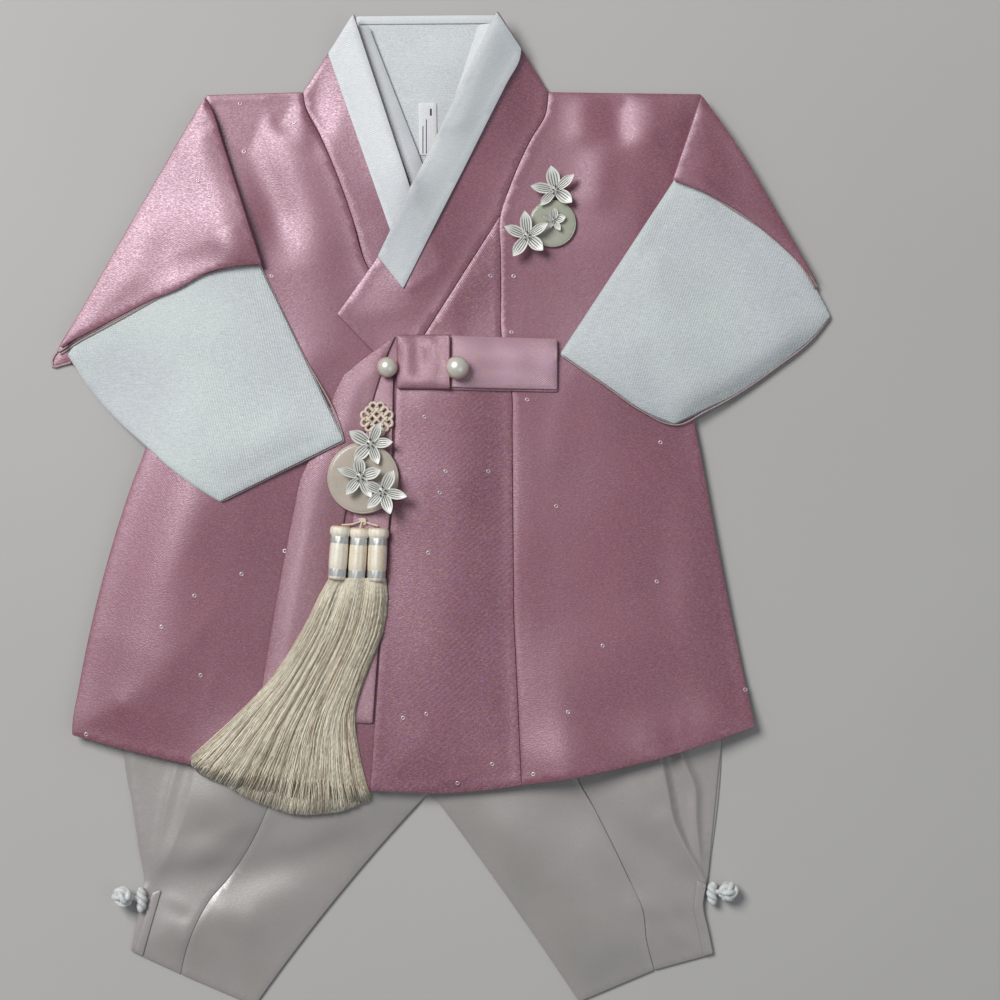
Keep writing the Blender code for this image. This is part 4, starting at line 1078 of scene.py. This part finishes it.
def ribbon():
    under = lay(["ribbon_loop"], "rose_ribbon", thick=0.9, loft=0.3, step=2.0, grow=0.35)
    for piece, *_ in under.values():
        piece.name = "ribbon_loop_under_cloth"
        piece.location.y = -0.9 * MM
    loop_folds = [([(8, 88), (30, 84), (58, 87)], 0.8, 4, 4, 0.8, 0.8),
                  ([(10, 68), (30, 72), (58, 66)], 0.8, 5, 5, 0.8, 0.6),
                  ([(8, 78), (24, 77), (44, 78)], -0.8, 4, 4, 1.0, 0.0),
                  ([(22, 90), (26, 86), (32, 83)], -0.6, 2.0, 2.0, 1.0, 0.0)]
    loop = lay(["ribbon_loop"], "rose_loop", thick=1.0, loft=1.0, loft_reach=5.0, folds=loop_folds,
               waves=(26, 0.35, 63), step=2.0, stiff=2.4)
    knot_folds = [([(-19.0, 91), (-18.0, 76), (-19.4, 62)], 0.7, 5.5, 4.0, 1.0, 1.0),
                  ([(-12.0, 92), (-10.4, 80), (-11.5, 66)], -1.5, 4.0, 5.0, 1.0, 0.0),
                  ([(-4.0, 91), (-3.0, 76), (-6.0, 62)], 0.8, 3.6, 5.0, 0.6, 1.0),
                  ([(1.8, 91), (2.0, 78), (3.4, 62)], -1.0, 1.8, 2.8, 1.0, 1.0)]
    knot = lay(["ribbon_knot"], "rose_ribbon", thick=2.0, loft=1.7, loft_reach=3.2, folds=knot_folds,
               waves=(16, 0.3, 65), step=1.5, stiff=1.6, rounds=8)
    declare(loop)
    declare(under)
    declare(knot)
    for name in ("pearl_small", "pearl_large"):
        pearl(name)


def pearl(name):
    """A round pearl, resting on the ribbon."""
    low, high = box(name)
    centre, radius = (low + high) / 2, (high.x - low.x) / 2
    floor = max(pile.height([centre])[0], 0.0)
    profile = [(max(0.02, radius * math.sin(a) * (1 + 0.01 * math.cos(5 * a))),
                0.96 * radius * math.cos(a))
               for a in np.linspace(0, math.pi, 28)]
    verts, faces = lathe(profile, 48)
    piece = new_piece(name + "_nacre", verts, faces, "pearl", (name,))
    piece.location = Vector((centre.x, centre.y, floor + 0.96 * radius - 0.4)) * MM


# Hard ornaments

def petal(centre, tip, hub, width, base_height, rise, rows=20, columns=29):
    """One lance-shaped petal with a raised rim and sunken veins painted dark as shade: points, faces, and
    the painted shade of each point.
    """
    length = math.dist(centre, tip)
    ahead = np.array([(tip[0] - centre[0]) / length, (tip[1] - centre[1]) / length])
    across = np.array([-ahead[1], ahead[0]])
    root = hub * 0.3
    verts, groove_shades = [], []
    for side in (1, -1):
        for s in np.linspace(0.0, 1.0, rows):
            bulge = math.sin(math.pi * (0.08 + 0.80 * s)) ** 0.9
            half = width * (0.28 + 0.72 * bulge) * (1 - s ** 5) ** 0.8
            for v in np.linspace(-1.0, 1.0, columns):
                place = centre + ahead * (root + s * (length - root)) + across * v * (half + 0.03)
                inner = (1 - abs(v) ** 5) * (1 - s ** 7)
                vein = max(math.exp(-((v - lane) / 0.08) ** 2) for lane in (-0.6, -0.2, 0.2, 0.6))
                vein *= np.clip((0.86 - s) / 0.25, 0, 1)
                rim = max(abs(v) ** 6, s ** 8)
                z = base_height + rise * s ** 1.6 + 0.5 * v * v * math.sin(math.pi * min(s, 0.85))
                z += 0.35 * rim - 0.25 * vein * inner if side > 0 else -0.5
                verts.append((*place, z))
                # Painted shade: darker along the sunken veins, towards the hub and on the underside; the
                # raised rim is left bright.
                groove_shades.append((0.95 * vein + 0.14 + 0.3 * (1 - s) ** 3) * inner if side > 0 else 0.3)
    return verts, plate_faces(rows, columns), groove_shades


def flower(name, centre, tips, width, hub):
    """A silver flower: veined petals round a hub with dark-tipped stamens."""
    floor = max(box(name)[0].z - 0.4, pile.height([centre])[0] + 0.2)
    verts, faces, groove_shades = [], [], []
    for k, (x, y, share) in enumerate(tips):
        petal_verts, petal_faces, petal_groove_shades = petal(centre, (x, y), hub, width * (0.05 + share),
                                                        floor + 0.9 + 0.3 * (k % 2), 1.0 + 0.6 * (k % 3))
        faces += [tuple(len(verts) + i for i in face) for face in petal_faces]
        verts += petal_verts
        groove_shades += petal_groove_shades
    dome = lathe([(0.05, 1.5), (0.5 * hub, 1.35), (0.8 * hub, 1.0), (0.9 * hub, 0.5), (0.6 * hub, 0.0)],
                 20, (*centre, floor))
    faces += [tuple(len(verts) + i for i in face) for face in dome[1]]
    verts += [tuple(v) for v in dome[0]]
    # The hub dome gets a middling share of the same painted shade.
    groove_shades += [0.45] * len(dome[0])
    new_piece(name + "_plate", verts, faces, "silver", (name,), {"groove_shade": groove_shades})
    stems, heads = [], []
    size = 0.17 * hub
    for k in range(5):
        angle = math.tau * k / 5 + 0.4
        reach = hub * (0.50 + 0.24 * (k % 2))
        out = reach * np.array([math.cos(angle), math.sin(angle)])
        foot, head = (*(centre + 0.3 * out), floor + 1.2), (*(centre + out), floor + 2.3)
        stems.append(np.linspace(foot, head, 4))
        heads.append(lathe([(0.03, size), (0.8 * size, 0.6 * size), (size, 0.0), (0.8 * size, -0.6 * size),
                            (0.03, -size)], 8, head))
    new_piece(name + "_stamens", *joined(tubes(stems, 0.12, 5), *heads), "dark")


def stone(name, finish):
    """A round polished stone in a thin bezel, its edge rounded."""
    low, high = box(name)
    centre, radius = (low + high) / 2, (high.x - low.x) / 2
    ring = [(radius * s, low.z + (high.z - low.z) * z) for s, z in (
        (0.002, 1.0), (0.5, 1.0), (0.80, 0.985), (0.90, 0.96), (0.935, 0.93), (0.95, 0.84), (0.965, 0.90),
        (0.985, 0.88), (0.998, 0.74), (1.0, 0.5), (0.995, 0.2), (0.96, 0.03), (0.90, 0.0), (0.002, 0.0))]
    new_piece(name + "_stone", *lathe(ring, 96, (centre.x, centre.y, 0.0)), finish, (name,))


def brooch():
    stone("brooch_disc", "jade_pale")
    flowers = {
        "brooch_flower_small": ((58.5, 149.5), [
            (58.5 + 6.4 * math.cos(a), 149.5 + 6.4 * math.sin(a), share)
            for a, share in zip((math.tau * (i + 0.2) / 5 for i in range(5)), (1.0, 1.0, 0.6, 0.7, 0.7))],
            2.1, 1.8),
        "brooch_flower_upper": ((59.5, 165.0), (
            (57.0, 177.5, 1.0), (69.0, 173.0, 0.66), (68.0, 158.5, 0.92), (51.5, 157.0, 0.62),
            (46.5, 167.0, 0.74)), 3.4, 2.8),
        "brooch_flower_lower": ((45.0, 141.0), (
            (43.5, 154.0, 0.86), (55.5, 147.5, 0.66), (53.0, 133.5, 0.90), (37.5, 130.5, 0.84),
            (33.0, 146.0, 0.78)), 3.4, 2.8),
    }
    for name, (centre, tips, width, hub) in flowers.items():
        flower(name, centre, tips, width, hub)


def lattice_knot(centre, height):
    """A chrysanthemum knot: one cord woven three by three, with round ears outside."""
    pitch, reach, ear = 3.1, 4.5, 2.15
    paths = []
    turn = math.radians(45)
    for family in (0, 1):
        for k in (-1, 0, 1):
            t = np.linspace(-reach, reach, 25)
            line = np.stack([t, np.full(len(t), k * pitch)], axis=1)
            phase = (k + family) % 2
            z = 0.55 * np.cos(math.pi * (t / pitch + phase))
            if family:
                line = line[:, ::-1]
                z = -0.55 * np.cos(math.pi * (t / pitch + k + 1))
            paths.append(np.column_stack([line, z]))
    for side in range(4):
        for k in (-1, 0, 1):
            angles = np.linspace(-0.75 * math.pi, 0.75 * math.pi, 22)
            x = reach + 0.9 + ear * np.cos(angles)
            y = k * pitch + ear * 0.82 * np.sin(angles)
            loop = np.stack([x, y], axis=1)
            spin = math.pi / 2 * side
            loop = loop @ np.array([[math.cos(spin), math.sin(spin)], [-math.sin(spin), math.cos(spin)]])
            paths.append(np.column_stack([loop, 0.15 * np.sin(angles * 2)]))
    turned = []
    for path in paths:
        x, y = path[:, 0], path[:, 1]
        turned.append(np.column_stack([centre[0] + x * math.cos(turn) - y * math.sin(turn),
                                       centre[1] + 1.05 * (x * math.sin(turn) + y * math.cos(turn)),
                                       height + path[:, 2]]))
    return tubes(turned, 0.72, 8)


# A tassel head's profile from its top: share of its radius, distance down in mm, bound with foil
HEAD_ROWS = [(0.04, 0.0, 0), (0.45, -0.1, 0), (0.62, 0.0, 0), (0.72, -0.5, 0), (0.95, -0.3, 0),
             (1.09, 0.7, 0), (1.13, 1.9, 0), (1.12, 3.2, 0), (1.05, 4.2, 0), (0.93, 4.7, 0),
             (0.93, 5.0, 1), (0.96, 5.3, 1), (0.96, 8.4, 1), (0.95, 8.6, 0), (0.98, 9.0, 0),
             (1.0, 12.0, 0), (1.0, 18.0, 0), (0.98, 21.0, 0), (0.95, 21.3, 0), (0.96, 21.6, 1),
             (0.96, 25.4, 1), (0.94, 25.7, 0), (0.9, 27.0, 0), (0.04, 27.2, 0)]


def norigae():
    low, high = box("norigae_knot")
    centre = (low + high) / 2
    knot = lattice_knot((centre.x + 1.0, centre.y - 0.6), pile.height([centre])[0] + 1.5)
    new_piece("norigae_knot_cord", *knot, "cream", ("norigae_knot",))
    skirt()
    stone("norigae_disc", "jade")
    heads = {"tassel_head_right": ((-51.0, -8.6), (-53.3, -38.2), 4.7),
             "tassel_head_middle": ((-41.3, -9.6), (-43.2, -38.2), 4.5),
             "tassel_head_left": ((-31.6, -9.6), (-32.8, -38.2), 4.8)}
    for name, (start, end, head_radius) in heads.items():
        low, high = box(name)
        tassel_head(name, start, end, head_radius, (low.z + high.z) / 2 + 0.6)
    cord_height = box("norigae_cord")[0].z + 1.2
    routes = [[(-39.5, 0.5), (-39.8, -3.0), (-40.2, -5.6)], [(-38.4, 0.5), (-38.6, -3.0), (-39.6, -5.6)]]
    routes += [[(-39.9, -5.4), (-45.0, -7.2), (-50.6, -7.6)],
               [(-40.0, -5.4), (-40.6, -7.4), (-41.0, -9.4)],
               [(-39.9, -5.4), (-36.0, -7.0), (-31.8, -8.2)]]
    cords = []
    for k, route in enumerate(routes):
        line = curve_through(route, 0.6)
        rise = cord_height + 4.0 * np.clip((-3.0 - line[:, 1]) / 6.0, 0, 1) + 0.3 * (k % 2)
        cords.append(np.column_stack([line, rise]))
    wraps = [np.array([(-39.9 + 1.7 * math.cos(a), -5.3 - 0.7 * k + 0.9 * math.sin(a),
                        cord_height + 1.6 + 1.2 * math.sin(a + 1.2))
                       for a in np.linspace(0, math.tau, 20)])
             for k in range(3)]
    new_piece("norigae_cord_loops", *tubes(cords + wraps, 0.5, 7), "cream", ("norigae_cord",))
    flowers = {
        "norigae_flower_upper": ((-35.5, 34.0), (
            (-46.5, 40.5, 0.95), (-30.5, 45.0, 0.74), (-24.0, 35.0, 0.72), (-31.5, 23.5, 0.74),
            (-44.0, 25.5, 0.90))),
        "norigae_flower_middle": ((-40.5, 17.0), (
            (-52.5, 21.5, 0.62), (-41.5, 27.5, 0.88), (-30.0, 20.5, 0.84), (-35.0, 6.5, 0.76),
            (-48.0, 8.0, 0.74))),
        "norigae_flower_lower": ((-29.0, 9.5), (
            (-23.5, 20.5, 0.84), (-16.5, 7.0, 0.74), (-25.0, -2.0, 0.80), (-37.0, 1.0, 0.74),
            (-38.5, 14.0, 0.72))),
    }
    for name, (place, tips) in flowers.items():
        flower(name, place, tips, 3.4, 3.2)


def tassel_head(name, start, end, radius, height):
    """A bound head: a padded cap, foil bands at both ends and thread wound between them."""
    steps = 48
    verts, faces = lathe([(share * radius, -along) for share, along, _ in HEAD_ROWS], steps)
    angles = np.arctan2(verts[:, 1], verts[:, 0])
    bound = np.repeat([foil for _, _, foil in HEAD_ROWS], steps) > 0
    ripple = np.where(bound, 1 + 0.03 * np.cos(11 * angles), 1 + 0.025 * np.cos(24 * angles))
    verts[:, :2] *= ripple[:, None]
    chance = np.random.default_rng(int(abs(start[0])))
    streak = np.tile(chance.uniform(0, 1, steps), 3)
    streak = np.convolve(streak, (0.25, 0.5, 0.25), "same")[steps:2 * steps]
    streak = (streak - streak.min()) / (streak.max() - streak.min())
    tone = 0.25 + 0.75 * np.tile(streak, len(HEAD_ROWS))
    cap = np.repeat([along for _, along, _ in HEAD_ROWS], steps) < 4.9
    tone = np.where(cap, 0.78 + 0.15 * np.cos(12 * angles), tone)
    tone -= 0.7 * (np.repeat([along for _, along, _ in HEAD_ROWS], steps) < 0.4)
    piece = new_piece(name + "_bound", verts, faces, "wound", (name,), {"tone": tone})
    piece.data.materials.append(materials["foil"])
    for polygon in piece.data.polygons:
        band = min(i // steps for i in polygon.vertices)
        foil = len(polygon.vertices) == 4 and HEAD_ROWS[band][2] and HEAD_ROWS[band + 1][2]
        polygon.material_index = int(foil)
    down = Vector((end[0] - start[0], end[1] - start[1], 0)).normalized()
    turn = Matrix((down.cross(Vector((0, 0, 1))), Vector((0, 0, 1)), -down)).transposed()
    if turn.determinant() < 0:
        turn = Matrix((-down.cross(Vector((0, 0, 1))), Vector((0, 0, 1)), -down)).transposed()
    piece.matrix_world = Matrix.Translation(Vector((start[0], start[1], height)) * MM) @ turn.to_4x4()


# The tassel skirt's edges from top to bottom, and its hem from the wearer's right to the left
SKIRT_RIGHT = [(-57.0, -35.0), (-60.0, -40.0), (-69.5, -60.0), (-84.5, -84.0), (-105.0, -106.0),
               (-128.0, -127.0)]
SKIRT_LEFT = [(-28.0, -35.0), (-27.2, -40.0), (-28.6, -60.0), (-38.0, -84.0), (-43.8, -104.0),
              (-41.0, -128.0), (-35.5, -149.0)]
SKIRT_HEM = [(-128.0, -127.0), (-127.0, -132.0), (-109.0, -142.0), (-89.7, -151.8), (-72.0, -156.5),
             (-55.4, -156.0), (-35.5, -150.0)]
SKIRT_RISE = 6.0


def skirt_point(u, t):
    """Where a share of the way across and down the skirt is, for arrays of both."""
    t = np.asarray(t, float)
    right, left, hem = (curve_through(line, 1.0) for line in (SKIRT_RIGHT, SKIRT_LEFT, SKIRT_HEM))

    def along(line, share):
        place = share * (len(line) - 1)
        return np.stack([np.interp(place, np.arange(len(line)), line[:, k]) for k in (0, 1)], axis=-1)

    straight = along(right, t) * (1 - u)[..., None] + along(left, t) * u[..., None]
    chord = np.array(SKIRT_RIGHT[-1]) * (1 - u)[..., None] + np.array(SKIRT_LEFT[-1]) * u[..., None]
    return straight + (along(hem, u) - chord) * (t ** 1.6)[..., None]


def skirt_rise(u, t):
    """How thick the skirt is there: round under each head, then one fan that thins to its hem."""
    body = np.sqrt(np.clip(1 - (2 * u - 1) ** 2, 0, 1)) * (SKIRT_RISE * (1 - 0.62 * t) + 1.0)
    bundles = 0.5 - 0.5 * np.cos(math.tau * 3 * u)
    return body + 2.6 * bundles * np.exp(-(t / 0.10) ** 2) + 0.5 * np.sin(17 * u + 3 * t) * (1 - t)


def skirt():
    """The tassel's skirt: a solid heart of thread, painted dark as the shade between threads, and loose
    threads that lie over it.
    """
    grid_u, grid_t = np.meshgrid(np.linspace(0.03, 0.97, 40), np.linspace(0.01, 0.955, 40))
    places = skirt_point(grid_u, grid_t)
    floor = pile.height(places.reshape(-1, 2)).reshape(grid_u.shape)
    rise = skirt_rise(grid_u, grid_t)
    share = 0.70 - 0.3 * np.exp(-(grid_t / 0.05) ** 2)
    top = np.concatenate([places, (floor + 0.3 + share * rise)[..., None]], axis=-1).reshape(-1, 3)
    base = np.concatenate([places, (floor + 0.15)[..., None]], axis=-1).reshape(-1, 3)
    # The heart's darkest tone is painted shade, the shade seen in the gaps between the loose threads.
    new_piece("tassel_skirt_heart_painted_shade", np.vstack([top, base]), plate_faces(*grid_u.shape), "thread", (),
              {"tone": np.full(2 * grid_u.size, 0.05)})
    threads = 1500
    for layer, lift, seed in (("under", 0.80, 72), ("over", 1.0, 73)):
        chance = np.random.default_rng(seed)
        paths, tones = [], []
        for k in range(threads):
            line, tone = loose_thread((k + chance.uniform(0, 1)) / threads, lift, chance)
            paths.append(line)
            tones.append(np.repeat(tone, 3))
        verts, faces = tubes(paths, 0.29, 3)
        new_piece(f"tassel_skirt_{layer}_threads", verts, faces, "thread",
                  ("tassel_skirt",) if layer == "over" else (), {"tone": np.concatenate(tones)})


LOCKS = 21                  # locks of thread across the skirt


def loose_thread(u0, lift, chance):
    """One thread of the skirt's outer layers, and its tone from end to end."""
    t = np.linspace(0, 1, 15) ** 0.9
    phase = math.tau * (LOCKS * u0 + 0.8 * math.sin(9 * u0)) + 1.5 * np.sin(2.4 * t + 7 * u0)
    spread = np.clip(t / 0.5, 0, 1)
    wander = -0.75 * np.sin(phase) / (math.tau * LOCKS) * spread
    wander = wander + chance.normal(0, 0.009) * t + chance.normal(0, 0.008) * np.sin(math.pi * t)
    wander += chance.normal(0, 0.0035, len(t)) * spread
    if chance.uniform() < 0.05:
        wander += chance.normal(0, 0.025) * t ** 3
    stray = u0 < 0.07 and chance.uniform() < 0.4
    if stray:
        wander -= chance.uniform(0.02, 0.14) * np.clip(t - 0.3, 0, 1) ** 1.5
    u = u0 + wander if stray else np.clip(u0 + wander, 0.0, 1.0)
    reach = np.clip(t * (1 + chance.normal(0, 0.017) + 0.012 * math.sin(23 * u0)), 0, 1.035)
    line = skirt_point(u, reach)
    crest = 0.5 + 0.5 * np.cos(phase)
    rise = skirt_rise(u, reach) * (lift * 0.84 + chance.uniform(0, 0.14)) + chance.uniform(0, 0.5)
    rise += 0.9 * (crest - 0.5) * spread
    z = pile.height(line) + 0.4 + np.maximum(rise, 0.0) * (1 - 0.35 * np.exp(-(t / 0.025) ** 2))
    own = np.clip(chance.normal(0.66, 0.26), 0.05, 1.0)
    # Painted highlight and shade: threads on the crests of the locks are made lighter, those in the
    # troughs between them darker.
    tone = own + 0.9 * np.exp(-t / 0.035) + 0.30 * (crest - 0.5) * spread
    return np.column_stack([line, z]), np.clip(tone, 0, 1)


def ankle_knots():
    """A button of knotted cord outside each ankle, held by a twisted cord loop round its neck."""
    for side, lean in (("right", 1), ("left", -1)):
        low, high = box(f"ankle_knot_{side}")
        centre, radius = (low + high) / 2, (high.x - low.x) / 2
        t = np.linspace(0, math.tau, 420)
        latitude = math.radians(62) * np.sin(5 * t)
        out = (radius - 1.5) + 0.55 * np.sin(10 * t)
        wound = np.stack([out * np.cos(latitude) * np.cos(3 * t), out * np.cos(latitude) * np.sin(3 * t),
                          out * np.sin(latitude)], axis=1)
        tilt = np.array(Matrix.Rotation(lean * math.radians(58), 3, "Y") @ Matrix.Rotation(0.5, 3, "X"))
        wound = wound @ tilt.T + np.array(centre)
        core = lathe([(0.02, 1.0), (0.5, 0.86), (0.87, 0.5), (1.0, 0.0), (0.87, -0.5), (0.5, -0.86),
                      (0.02, -1.0)], 18)
        core = (core[0] * (radius - 1.7) + np.array(centre), core[1])
        ball = tubes([wound], 1.5, 10)
        # Painted shade: the cord is lighter where it runs outermost and darker where it dips in, and the
        # core between the windings takes the dark end, as shade.
        tone = np.concatenate([0.5 + 0.45 * np.repeat(np.sin(10 * t), 10), np.full(len(core[0]), 0.1)])
        new_piece(f"ankle_knot_{side}_cord", *joined(ball, core), "cord", (f"ankle_knot_{side}",),
                  {"tone": tone})
        low, high = box(f"ankle_loop_{side}")
        centre, reach = (low + high) / 2, (high.y - low.y) / 2
        s = np.linspace(-1, 1, 60)
        floor = 0.5 * pile.height([(centre.x - lean, centre.y)])[0]
        strands = []
        for phase in (0, math.pi):
            twist = 1.6 * math.pi * s + phase
            swing = 1.35 * np.sqrt(np.clip(1.02 - s ** 2, 0, 1))
            strands.append(np.stack([centre.x + swing * np.cos(twist) - lean * 0.8 * s ** 2 + 0.4,
                                     centre.y + (reach - 1.5) * s, floor + 4.2 + swing * np.sin(twist)],
                                    axis=1))
        neck = np.array([(centre.x, centre.y + 0.5, floor + 4.0),
                         (centre.x - lean * 5.5, centre.y + 1.0, 5.2)])
        new_piece(f"ankle_loop_{side}_cord", *joined(tubes(strands, 1.5, 10),
                                                     tubes([np.linspace(*neck, 6)], 1.3, 10)),
                  "cord", (f"ankle_loop_{side}",))


def sequins():
    """Small ring sequins scattered over the rose satin."""
    places = [(-104, 211), (-76, 201), (-102, 186), (-125, 170), (-119, 162), (-87, 121), (26, 121),
              (38, 121), (37, 92), (45, 57), (-8, 48), (3, 20), (25, 20), (0, 9), (-6, -22), (60, 2),
              (112, -37), (-143, -60), (-126, -44), (-102, -33), (-123, -85), (-183, -116), (-80, -21),
              (-19, -107), (-7, -105), (9, -141), (27, -131), (48, -136), (158, -93), (114, 35),
              (84, -70), (-60, -88), (66, -104)]
    chance = np.random.default_rng(5)
    parts = []
    for x, y in places:
        z, east, west, north, south = pile.height([(x, y), (x + 1, y), (x - 1, y), (x, y + 1), (x, y - 1)])
        slope = np.clip([(east - west) / 2, (north - south) / 2], -0.3, 0.3) + chance.normal(0, 0.05, 2)
        ring = [(1.2, 0.0), (1.1, 0.12), (0.8, 0.18), (0.5, 0.14), (0.45, 0.04), (0.5, 0.0)]
        steps = 18
        verts = np.array([(r * math.cos(a), r * math.sin(a), h) for r, h in ring
                          for a in math.tau * np.arange(steps) / steps])
        verts[:, 2] += verts[:, 0] * slope[0] + verts[:, 1] * slope[1] + z + 0.12
        verts[:, :2] += (x, y)
        parts.append((verts, ring_faces(len(ring), steps, closed=True)))
    new_piece("sequins", *joined(*parts), "sequin")


def floor_cloth():
    """The pale floor."""
    finish = Finish("floor_paper")
    cloud = finish.noise(finish.place, 3.0, 3.0)
    finish.colour(finish.mix(finish.spread(cloud, 0.3, 0.7), rgb(0.50, 0.495, 0.485),
                             rgb(0.53, 0.525, 0.515)))
    finish.rough(0.9)
    bpy.ops.mesh.primitive_plane_add(size=8.0, location=(0, 0, -0.0002))
    item = bpy.context.object
    item.name = "floor"
    item.data.materials.append(finish.material)


def main():
    stand_camera()
    light_studio()
    floor_cloth()
    trousers()
    jacket_back()
    neck()
    jacket_right_front()
    jacket_left_front()
    ribbon_tail()
    sleeves()
    ribbon()
    sequins()
    norigae()
    brooch()
    ankle_knots()


main()
